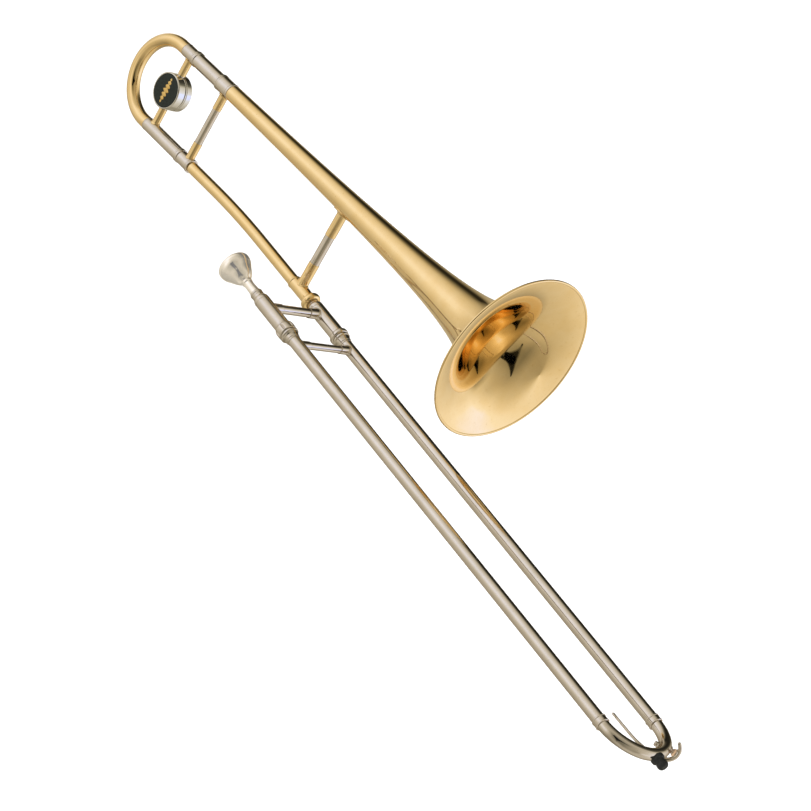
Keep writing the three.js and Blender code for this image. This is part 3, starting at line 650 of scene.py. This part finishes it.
def on_horn(y, z):
    """Height of the bell's surface at the front brace."""
    return np.sqrt(horn(y + FRONT_BRACE) ** 2 - z**2)


braced("inner_brace", INNER_BRACE, 2 * HALF, 6, 5.2,
       ("bell_side", 21, 20, 13, on_pipe(9)),
       ("mouthpiece_side", 21, 20, 13, on_pipe(9)), "nickel_drawn")
braced("outer_brace", OUTER_BRACE, 2 * HALF, 5, 4.3,
       ("bell_side", 19, 16, 11.5, on_pipe(OUTER_RADIUS)),
       ("mouthpiece_side", 19, 10.6, 11.5, on_pipe(OUTER_RADIUS)), "nickel_drawn")
braced("rear_brace", REAR, LEG_SPACING, 5.4, 4.8,
       ("bell", 29, 14, 14, on_pipe(10.35)),
       ("gooseneck", 28, 11, 12, on_pipe(8.3)), "brass_drawn")
front_span = LEG_SPACING + (BEND_TO_RIM + FRONT_BRACE) * math.tan(BELL_ANGLE)
braced("front_brace", FRONT, front_span, 6.4, 5.9,
       ("bell", 44, 30, 20, on_horn),
       ("gooseneck", 35, 18, 13, on_pipe(8, BELL_ANGLE)), "brass_drawn")
braced("tuning_brace", TUNING, LEG_SPACING, 5, 4.2,
       ("upper", 28.5, 11.6, 12, on_pipe(8.35)),
       ("lower", 28.5, 13, 12, on_pipe(8.3)), "brass_drawn")

# ---------------------------------------------------------------- water key


def patch(place, half_u, half_v, thick, power=3.2, sides=64, rings=8):
    """A rounded plate: place(u, v, h) is the point at (u, v) on the surface it lies on, h above it."""
    turn = np.linspace(0, TAU, sides, endpoint=False)
    cos, sin = np.cos(turn), np.sin(turn)
    reach = (np.abs(cos) ** power + np.abs(sin) ** power) ** (-1 / power)
    u, v = reach * cos * half_u, reach * sin * half_v
    bevel = 0.25
    inset = 1 - bevel / min(half_u, half_v)
    levels = [(share, thick) for share in np.linspace(0, inset, rings)]
    levels += [((1 + inset) / 2, thick - 0.06), (1, thick - bevel), (1, 0)]
    levels += [(share, 0) for share in np.linspace(1, 0, rings)[1:]]
    corners, lay = [], []
    for share, h in levels:
        corners.append(place(u * share, v * share, h))
        lay.append(np.stack([u * share, np.full(sides, h), v * share], 1))
    return np.concatenate(corners), np.concatenate(lay), strips(len(levels), sides)


def round_crook(u, v, h):
    """A point by the bow's surface, in the key's frame: u is round the tube from +X, v along it."""
    radius = CROOK_RADIUS + 0.1 + h
    turn = u / CROOK_RADIUS - 0.42
    bow = HALF + radius * np.sin(turn)
    return np.stack(
        [radius * np.cos(turn), bow * np.cos(v / HALF) - HALF, bow * np.sin(v / HALF)], 1
    )


def ear(low):
    """A flat rounded lug that holds the pivot screw, rising along local Z from low."""
    outline = [(4.5, -2.6), (9.5, -2.4)]
    outline += [(KEY_PIVOT + 2.4 * math.sin(a), -2.4 * math.cos(a)) for a in np.linspace(0, math.pi, 17)]
    outline += [(9.5, 2.4), (4.5, 2.6)]
    outline = np.array(outline)
    middle = np.array([8.2, 0.0])
    levels = ((0, 0), (0.9, 0), (0.985, 0.08), (1, 0.25), (1, 1.15), (0.985, 1.32), (0.9, 1.4), (0, 1.4))
    corners = np.concatenate([
        np.column_stack([middle + (outline - middle) * share, np.full(len(outline), low + h)])
        for share, h in levels
    ])
    return corners, corners[:, [0, 2, 1]], strips(len(levels), len(outline))


FOOT_SHIFT = Matrix.Translation((2.6, 0, 0))
foot = moved(knob([(2.2, -6.4), (2.75, -7), (2.75, -10.4), (2.3, -11)], 0.3), FOOT_SHIFT)
foot_root = moved(knob([(4.2, -5.9), (3.2, -7.2), (2.5, -7.8)], 0.4), FOOT_SHIFT)
piece("water_key_saddle", [patch(round_crook, 8.2, 6.0, 1.3), ear(-6), ear(4.6), foot, foot_root],
      KEY, "nickel_spun", crease=0.9)
along_crook = Matrix.Translation((KEY_PIVOT, 0, 0)) @ UPRIGHT
pivot_screw = knob([(1.1, -6.8), (1.1, 6.3), (2.1, 6.3), (2.1, 7.3), (1.5, 7.8)], 0.25, 32)
piece("water_key_pivot_screw", [moved(pivot_screw, along_crook)], KEY, "steel")
nipple = revolve(supported(eased(
    [(4.6, 5.2), (4.2, 6.6), (3.2, 7.3), (2.75, 8.0), (2.7, 9.2), (1.3, 9.2), (1.3, 5.2)], 0.35)), sides=48)
piece("water_key_nipple", [nipple], KEY, "nickel_spun")

hub = moved(knob([(2.5, -4.3), (2.9, -3.9), (2.9, 3.9), (2.5, 4.3)], 0.2), along_crook)
hook = rod([(KEY_PIVOT, 1, 0), (12.3, 6, 0), (9.6, 11, 0), (4.5, 14.1, 0), (-1.5, 14.8, 0), (-7.5, 13.2, 0),
            (-12.9, 8.4, 0)], 2.1, squeeze=1.15, taper=[(0, 1), (0.55, 1), (0.9, 0.8), (1, 0.72)])
cup = knob([(3.9, 11.35), (4.6, 11.5), (4.6, 12.6), (4.2, 13.4), (2.6, 14.2), (1.8, 14.8)], 0.4)
to_key = KEY.inverted()
touch_points = [(11.8, 688.6, -27.8), (12.9, 681.5, -19.9), (12.6, 674, -14.6), (12.4, 663, -11.2),
                (12.2, 649, -10.1), (12, 630.5, -9.3)]
touch = rod([tuple(to_key @ Vector(point)) for point in touch_points], 1.6, (1, 0, 0),
            taper=[(0, 1.35), (0.25, 1), (0.8, 0.92), (1, 0.9)])
pad = moved(rod([(0, -4.2, 0), (0, 0, 0), (0, 4.2, 0)], 2.0, (0, 0, 1), squeeze=0.62),
            to_key @ Matrix.Translation((12, 631.5, -9.3)))
piece("water_key_lever", [hub, hook, cup, touch, pad], KEY, "nickel_spun")
piece("water_key_cork", [knob([(3.8, 9.3), (4.1, 9.6), (4.1, 11.4)], 0.25)], KEY, "cork")
COIL_RADIUS, COIL_TURNS, COIL_PHASE, COIL_LOW, COIL_RISE, WIRE_RADIUS = 3.45, 2.5, 2.2, 2.6, 1.7, 0.27
coil = []
for share in np.linspace(0, 1, 90):
    turn = TAU * COIL_TURNS * share + COIL_PHASE
    coil.append((KEY_PIVOT + COIL_RADIUS * math.cos(turn), COIL_RADIUS * math.sin(turn),
                 COIL_LOW + COIL_RISE * share))
piece("water_key_spring", [rod(coil, WIRE_RADIUS, (1, 0, 0), 12, per_span=2)], KEY, "steel")

# ---------------------------------------------------------------- bell section

BELL_RINGS = 150
TAIL_EDGE = 0.2                  # a ring this close to the narrow end keeps its edge sharp
GROOVE_RADIUS, GROOVE_REACH, GROOVE_DEPTH = RIM_RADIUS - 4.4, 1.3, 0.16    # spun line inside the rim
far_end, near_end = HORN_OFFSET - BELL_TAIL, HORN_OFFSET + 0.35
skin_out, skin_in = [], []
for i in range(BELL_RINGS + 1):
    y = HORN_OFFSET - far_end * (near_end / far_end) ** (i / BELL_RINGS)
    radius = horn(y)
    slope = HORN_POWER * radius / (HORN_OFFSET - y)
    inward = BELL_WALL / math.hypot(1, slope)
    skin_out.append((radius, y))
    skin_in.append((radius - inward, y + inward * slope))
skin_in[0] = (skin_in[0][0], BELL_TAIL)
for skin in (skin_out, skin_in):
    skin.insert(1, (skin[0][0], BELL_TAIL + TAIL_EDGE))
skin_in = [(radius, y - GROOVE_DEPTH * max(0, 1 - abs(radius - GROOVE_RADIUS) / GROOVE_REACH))
           for radius, y in skin_in]
piece("bell", [revolve([*skin_out, *skin_in[::-1]], sides=224)], BELL, "brass_spun")
rim = RIM_RADIUS
piece("bell_rim_wire", [revolve(eased(
    [(rim - 0.9, -2.2), (rim, -1.4), (rim, 0), (rim - 0.9, 0.9), (rim - 2.2, 0.9), (rim - 3.2, 0.2),
     (rim - 3.2, -1.3), (rim - 2.4, -2.2)], 0.8, 4), sides=256)], BELL, "brass_spun")

piece("bell_ferrule", [turned(
    [(9.6, -574), (10.35, -573.3), (10.35, -571.6), (10.0, -571.1), (10.0, -569.9), (10.2, -569.6),
     (10.2, -568.8), (10.0, -568.4), (10.0, -551.6), (10.35, -551.1), (10.35, -548.6), (10.1, -548)],
    [(9.1, -574), (9.1, -548)], 0.3)], BELL, "nickel_spun")
piece("tuning_sleeve_upper", [turned(
    [(9.2, -628.2), (9.65, -627.6), (9.65, -626.2), (9.45, -625.9), (9.45, -624.3), (9.65, -624),
     (9.65, -622.4), (9.1, -621.7), (8.9, -621.4), (8.9, -549)],
    [(7.8, -628.2), (7.8, -549)], 0.3)], BELL, "nickel_drawn")

middle = Vector((0, BEND_Y, 0))
before, after = middle - FORWARD * BEND_LENGTH, middle + Vector((0, BEND_LENGTH, 0))
neck_points = [middle + FORWARD * (BEND_TO_RIM - 548.2)]
neck_points += [before.lerp(middle, t).lerp(middle.lerp(after, t), t) for t in np.linspace(0, 1, 60)]
neck_points.append(Vector((0, -60.3, 0)))
neck_path = Path([tuple(p) for p in neck_points], tuple(ACROSS))
piece("gooseneck", [bent(7.2, 6.6, 0, neck_path.length, neck_path, 4, 96)], BELL_SECTION, "brass_drawn")
piece("gooseneck_ferrule", [turned(
    [(8.1, -570.9), (8.3, -570.6), (8.3, -553), (8.9, -552.3), (8.9, -550.9), (8.7, -550.6), (8.9, -550.3),
     (8.9, -549.2), (8.4, -548.5)],
    [(7.65, -570.9), (7.65, -556), (7.25, -555.5), (7.25, -548.5)], 0.25)], LEG, "nickel_drawn")
piece("gooseneck_leg_tube", [turned([(7.6, -640), (7.6, -556)], [(7, -640), (7, -556)], 0.15)],
      LEG, "nickel_drawn")
piece("bell_receiver", [turned(
    [(7.5, -60), (8.5, -59.4), (8.5, -58), (8.15, -57.5), (8, -57), (8, -24)],
    [(7.2, -60), (7.2, -24)], 0.35)], BELL_SECTION, "brass_drawn")

# ---------------------------------------------------------------- tuning slide

bow_start = BOW_START - 0.3      # clear of the ferrules
bow_middle = bow_start - BOW_STRAIGHT
bow_points = [(0, bow_start, 0)]
bow_points += [
    (BOW_RADIUS - BOW_RADIUS * math.cos(a), bow_middle - BOW_RADIUS * math.sin(a), 0) for a in arc]
bow_points.append((LEG_SPACING, bow_start, 0))
bow_path = Path(bow_points, (-1, 0, 0))
piece("tuning_bow", [bent(8.1, 7.5, 0, bow_path.length, bow_path, 1.8, 96)], BELL, "brass_drawn")
piece("tuning_ferrule_upper", [turned(
    [(8.2, -647), (8.5, -646.6), (8.5, -645.4), (8.35, -645.1), (8.35, -628.5)],
    [(7.75, -647), (7.75, -628.5)], 0.2)], BELL, "nickel_drawn")
piece("tuning_leg_tube", [turned([(7.6, -645), (7.6, -566)], [(7, -645), (7, -566)], 0.15)],
      BELL, "nickel_drawn")
piece("tuning_sleeve_lower", [turned(
    [(8.2, -647), (8.5, -646.6), (8.5, -645.4), (8.3, -645.1), (8.3, -577.4), (9, -576.8), (9, -575.2),
     (8.8, -574.9), (8.8, -574), (9, -573.7), (9, -571.8), (8.5, -571.2)],
    [(7.8, -647), (7.8, -571.2)], 0.25)], LEG, "nickel_drawn")

# ---------------------------------------------------------------- counterweight


def lozenge(along, long, wide, low, high):
    """A four-pointed boss with hollow sides, standing up local Y from one height to another."""
    sides = 24
    corners = []
    for size, y in ((1, low), (1, (low + high) / 2), (0.72, high)):
        for turn in np.linspace(0, TAU, sides, endpoint=False):
            x = abs(math.cos(turn)) ** 1.5 * math.copysign(long, math.cos(turn))
            z = abs(math.sin(turn)) ** 1.5 * math.copysign(wide, math.sin(turn))
            corners.append((along + x * size, y, z * size))
    corners = np.array(corners)
    faces = strips(3, sides)
    faces += [tuple(range(sides)), tuple(range(2 * sides, 3 * sides))]
    return corners, corners, faces


piece("counterweight_front", [revolve(supported(eased(
    [(4.6, 0.2), (21.9, 0.2), (22.5, 0.8), (22.5, 10.6, 0.5), (21.6, 11.5, 0.5), (20.9, 11.5), (20.5, 10.9),
     (20.5, 9.8), (4.6, 9.8)], 0.3)), sides=160)], WEIGHT, "chrome")
piece("counterweight_back", [revolve(supported(eased(
    [(4.6, -11.5), (21.2, -11.5, 0.6), (22.5, -10.4, 0.6), (22.5, -3.1), (22.1, -2.7), (22.1, -2.1),
     (22.5, -1.7), (22.5, -0.8), (21.9, -0.2), (4.6, -0.2)], 0.3)), sides=160)], WEIGHT, "chrome")
piece("counterweight_disc", [knob([(20.1, 9.9), (20.2, 10.2), (20.2, 11.0), (19.9, 11.3)], 0.15, 160)],
      WEIGHT, "enamel")
ORNAMENT = (                     # each lozenge's place along the disc, half length and half width
    (-14.6, 1.9, 1.8), (-10.2, 2.9, 3.4), (-5.2, 3.1, 4.7), (0, 3.3, 5.6), (5.2, 3.1, 4.7),
    (10.2, 2.9, 3.4), (14.6, 1.9, 1.8),
)
lozenges = [lozenge(place, long, wide, 11.2, 11.5) for place, long, wide in ORNAMENT]
piece("counterweight_disc", lozenges, WEIGHT, "gilt", name="counterweight_ornament")
for node, shift in (("counterweight_screw_rear", -13), ("counterweight_screw_fore", 13)):
    screw = knob([(2.3, -11.6), (2.9, -11.2), (2.9, -9), (1.5, -8.8), (1.5, 7.6)], 0.25)
    piece(node, [screw], TUNING @ Matrix.Translation((LEG_SPACING / 2, shift, 0)) @ UPRIGHT, "steel")

# ---------------------------------------------------------------- stage

TOWARD = Vector((-0.3964, 0.5454, 0.7386))       # from the object towards the camera
RIGHT = Vector((-0.5176, 0.5317, -0.6704))       # the picture's right and up
UP = Vector((-0.7583, -0.6480, 0.0715))
EYE = Vector((-1.33795, 1.9971, 2.43154))
SENSOR_WIDTH = 36
FOCAL_LENGTH = 3050.5 / 811                      # in widths of the picture
FLOOR_HEIGHT, FLOOR_HALF = -0.85, 30

camera_data = bpy.data.cameras.new("camera")
camera_data.sensor_width = SENSOR_WIDTH
camera_data.lens = FOCAL_LENGTH * SENSOR_WIDTH
camera_data.clip_end = 100
camera = bpy.data.objects.new("camera", camera_data)
camera.matrix_world = Matrix.Translation(EYE) @ Matrix((RIGHT, UP, TOWARD)).transposed().to_4x4()
bpy.context.scene.collection.objects.link(camera)
bpy.context.scene.camera = camera
bpy.context.scene.view_settings.view_transform = "Standard"

floor_mesh = bpy.data.meshes.new("studio_floor")
bm = bmesh.new()
bmesh.ops.create_grid(bm, x_segments=2, y_segments=2, size=FLOOR_HALF)
bm.to_mesh(floor_mesh)
bm.free()
floor = bpy.data.objects.new("studio_floor", floor_mesh)
floor.location = (0, 0, FLOOR_HEIGHT)
bpy.context.scene.collection.objects.link(floor)
floor_material, nodes, shader = blank("pale_floor")
grain = nodes.noise(nodes("ShaderNodeTexCoord").outputs["Object"], 9, 4)
nodes.tree.links.new(nodes.ramp(grain, [(0.3, (0.90, 0.90, 0.90)), (0.7, (0.93, 0.93, 0.93))]),
                     shader.inputs["Base Color"])
shader.inputs["Roughness"].default_value = 0.9
shader.inputs["Specular IOR Level"].default_value = 0.0
# The floor is there for the eye and for its shadow, not in the metal's reflections nor seen from below.
clear = nodes("ShaderNodeBsdfTransparent").outputs[0]
glossy = nodes("ShaderNodeLightPath").outputs["Is Glossy Ray"]
behind = nodes("ShaderNodeNewGeometry").outputs["Backfacing"]
hidden = nodes.math("MAXIMUM", glossy, behind)
mix = nodes("ShaderNodeMixShader", {0: hidden, 1: shader.outputs[0], 2: clear})
output = next(n for n in nodes.tree.nodes if n.type == "OUTPUT_MATERIAL")
nodes.tree.links.new(mix.outputs[0], output.inputs["Surface"])
floor_mesh.materials.append(floor_material)

world = bpy.data.worlds.new("studio")
bpy.context.scene.world = world
world.use_nodes = True
world.node_tree.nodes.clear()
nodes = Nodes(world.node_tree)
direction = nodes("ShaderNodeTexCoord").outputs["Generated"]


BRIGHTEST = 2.2                  # the room's own scale; ramps hold no value over 1


def vector(operation, first, second, output="Vector"):
    """A vector node; second is another vector, or a number to scale by."""
    other = "Scale" if operation == "SCALE" else 1
    return nodes("ShaderNodeVectorMath", {0: first, other: second}, operation=operation).outputs[output]


def along(axis):
    """How far the ray's direction goes along an axis."""
    return vector("DOT_PRODUCT", direction, tuple(axis), "Value")


def room_ring(angle, stops):
    """Brightness by an angle in degrees, closing on itself."""
    share = nodes.math("MULTIPLY_ADD", angle, 1 / TAU, 0.5)
    closed = [*stops, (180, stops[0][1])]
    return nodes.ramp(share, [(degrees / 360 + 0.5, (value / BRIGHTEST,) * 3) for degrees, value in closed])


def fade(value, low, high, least=0.0):
    """Rises from least to 1 as the value goes from low to high."""
    return nodes(
        "ShaderNodeMapRange", {"Value": value, "From Min": low, "From Max": high, "To Min": least}
    ).outputs["Result"]


def in_front(right, up):
    """A direction near the camera's, by its parts along the picture's right and up."""
    return (TOWARD * math.sqrt(1 - right**2 - up**2) + RIGHT * right + UP * up).normalized()


ARM_WIDTH, ARM_TIP, ARM_DARK = 0.15, 0.1, 0.06    # the tip's width is a share of the root's


def off_arm(start, end):
    """Nearly nothing on a dark arm that tapers from one direction to another, one away from it."""
    start, end = in_front(*start), in_front(*end)
    run = end - start
    offset = vector("SUBTRACT", direction, tuple(start))
    share = vector("DOT_PRODUCT", offset, tuple(run / run.length_squared), "Value")
    share = nodes.math("ADD", share, 0, clamp=True)
    foot = vector("SCALE", tuple(run), share)
    away = vector("DISTANCE", offset, foot, "Value")
    width = nodes.math("MULTIPLY_ADD", share, ARM_WIDTH * (ARM_TIP - 1), ARM_WIDTH)
    return fade(nodes.math("DIVIDE", away, width), 0.9, 1.5, ARM_DARK)


# The lit room as the metal sees it. Each row is a ring of the room at one height along the slide's
# own direction; within a row, brightness goes by the angle round that direction: a wide soft box over
# the object, a dark screen beyond it, and the dark of the camera in front.
ROOM_STRENGTH = 2.05
ROOM = (
    (-0.97, [(-180, 0.75), (-130, 0.60), (-90, 0.68), (-40, 0.78), (0, 0.86), (30, 0.78), (65, 0.65),
        (100, 0.51), (120, 0.60), (142, 0.84), (165, 0.80)]),
    (-0.86, [(-180, 0.52), (-130, 0.50), (-90, 0.70), (-55, 0.82), (-25, 1.07), (-5, 1.08), (20, 0.90),
        (50, 0.70), (65, 0.52), (80, 0.34), (93, 0.12), (104, 0.02), (118, 0.04), (130, 0.45),
        (143, 0.82), (160, 0.75)]),
    (-0.7, [(-180, 0.45), (-130, 0.44), (-95, 0.56), (-70, 0.74), (-40, 0.93), (-22, 1.08), (-8, 1.10),
        (10, 1.00), (35, 0.86), (50, 0.72), (62, 0.50), (74, 0.20), (86, 0.05), (98, 0.02), (114, 0.02),
        (126, 0.10), (140, 0.32), (156, 0.52), (168, 0.34)]),
    (-0.5, [(-180, 0.55), (-145, 0.56), (-120, 0.52), (-90, 0.52), (-65, 0.60), (-45, 0.70),
        (-28, 0.90), (-12, 1.08), (0, 1.12), (15, 1.03), (30, 0.90), (48, 0.74), (60, 0.56), (72, 0.34),
        (83, 0.12), (94, 0.02), (140, 0.02), (154, 0.14), (168, 0.40)]),
    (-0.3, [(-180, 0.44), (-130, 0.27), (-95, 0.32), (-70, 0.52), (-50, 0.66), (-30, 0.95), (-10, 1.00),
        (10, 0.75), (30, 0.60), (50, 0.50), (68, 0.32), (84, 0.14), (98, 0.04), (130, 0.04),
        (150, 0.14), (166, 0.42)]),
    (-0.1, [(-180, 0.44), (-130, 0.30), (-95, 0.34), (-70, 0.52), (-50, 0.72), (-30, 1.02), (-10, 1.06),
        (10, 0.68), (30, 0.58), (50, 0.50), (70, 0.30), (86, 0.14), (98, 0.06), (122, 0.08),
        (136, 0.60), (150, 0.90), (168, 0.66)]),
    (0.1, [(-180, 0.40), (-130, 0.32), (-90, 0.34), (-60, 0.50), (-30, 0.66), (-10, 0.55), (10, 0.36),
        (30, 0.46), (50, 0.54), (70, 0.36), (88, 0.20), (112, 0.20), (126, 0.70), (140, 0.92),
        (150, 0.84), (168, 0.60)]),
    (0.3, [(-180, 0.68), (-130, 0.58), (-90, 0.50), (-60, 0.46), (-35, 0.36), (-10, 0.30), (10, 0.28),
        (30, 0.38), (50, 0.48), (70, 0.60), (90, 0.66), (110, 0.78), (130, 0.95), (150, 0.92),
        (168, 0.78)]),
    (0.5, [(-180, 0.80), (-150, 0.67), (-110, 0.61), (-85, 0.52), (-66, 0.46), (-50, 0.36), (-36, 0.26),
        (8, 0.22), (20, 0.30), (30, 0.38), (60, 0.50), (90, 0.62), (110, 0.90), (130, 1.16),
        (150, 1.13)]),
    (0.7, [(-180, 0.95), (-150, 0.70), (-110, 0.63), (-88, 0.56), (-70, 0.36), (-50, 0.24), (-28, 0.20),
        (-8, 0.22), (15, 0.25), (35, 0.35), (60, 0.50), (90, 0.75), (110, 1.00), (130, 1.22),
        (152, 1.22)]),
    (0.9, [(-180, 0.82), (-150, 0.68), (-110, 0.57), (-85, 0.42), (-50, 0.38), (-10, 0.40), (30, 0.46),
        (70, 0.61), (90, 0.69), (115, 0.85), (135, 0.98), (155, 0.97)]),
)
WARMTH = (        # brightness, and the colour it has: the dimmer parts of the room are warmer
    (0, (0, 0, 0)), (0.2, (0.22, 0.20, 0.14)), (0.4, (0.45, 0.40, 0.29)), (0.6, (0.67, 0.60, 0.46)),
    (0.8, (0.87, 0.80, 0.67)), (1.0, (1.05, 1.0, 0.94)), (1.12, (1.13, 1.12, 1.16)),
    (1.22, (1.15, 1.24, 1.8)), (1.35, (1.2, 1.4, 2.2)),
)
ARM_ROOT = (-0.10, 0.08)         # the camera's dark shape and its four arms, as parts right and up
ARM_TIPS = ((0.46, 0.02), (-0.48, -0.50), (-0.04, 0.42), (-0.34, 0.24))
over = Vector((TOWARD.x, 0, TOWARD.z)).normalized()
beyond = Vector((-over.z, 0, over.x))
angle = nodes.math("ARCTAN2", along(beyond), along(over))
forward = along((0, 1, 0))
studio = room_ring(angle, ROOM[0][1])
for (low, _), (high, stops) in zip(ROOM, ROOM[1:]):
    studio = nodes.blend(fade(forward, low, high), studio, room_ring(angle, stops))
for tip in ARM_TIPS:
    studio = nodes.math("MULTIPLY", studio, off_arm(ARM_ROOT, tip))
studio = nodes.ramp(studio, [
    (value / BRIGHTEST, tuple(part / BRIGHTEST for part in colour)) for value, colour in WARMTH])
reflected = nodes("ShaderNodeBackground", {"Color": studio, "Strength": ROOM_STRENGTH})
seen = nodes("ShaderNodeBackground", {"Color": (1, 1, 1, 1), "Strength": 1.0})
glossy = nodes("ShaderNodeLightPath").outputs["Is Glossy Ray"]
choice = nodes("ShaderNodeMixShader", {0: glossy, 1: seen.outputs[0], 2: reflected.outputs[0]})
world_output = nodes("ShaderNodeOutputWorld")
nodes.tree.links.new(choice.outputs[0], world_output.inputs["Surface"])

for name, location, size, power in (
    ("key", TOWARD * 2.2 + UP * -0.6 + Vector((0, 0, 0.8)), 2.4, 60),
    ("fill", Vector((1.8, 0.6, 1.6)), 2.0, 22),
):
    light = bpy.data.lights.new(f"{name}_light", "AREA")
    light.shape, light.size, light.energy = "DISK", size, power
    lamp = bpy.data.objects.new(f"{name}_light", light)
    lamp.location = location
    lamp.rotation_mode = "QUATERNION"
    lamp.rotation_quaternion = location.to_track_quat("Z", "Y")
    lamp.visible_glossy = False
    bpy.context.scene.collection.objects.link(lamp)

bpy.context.view_layer.update()
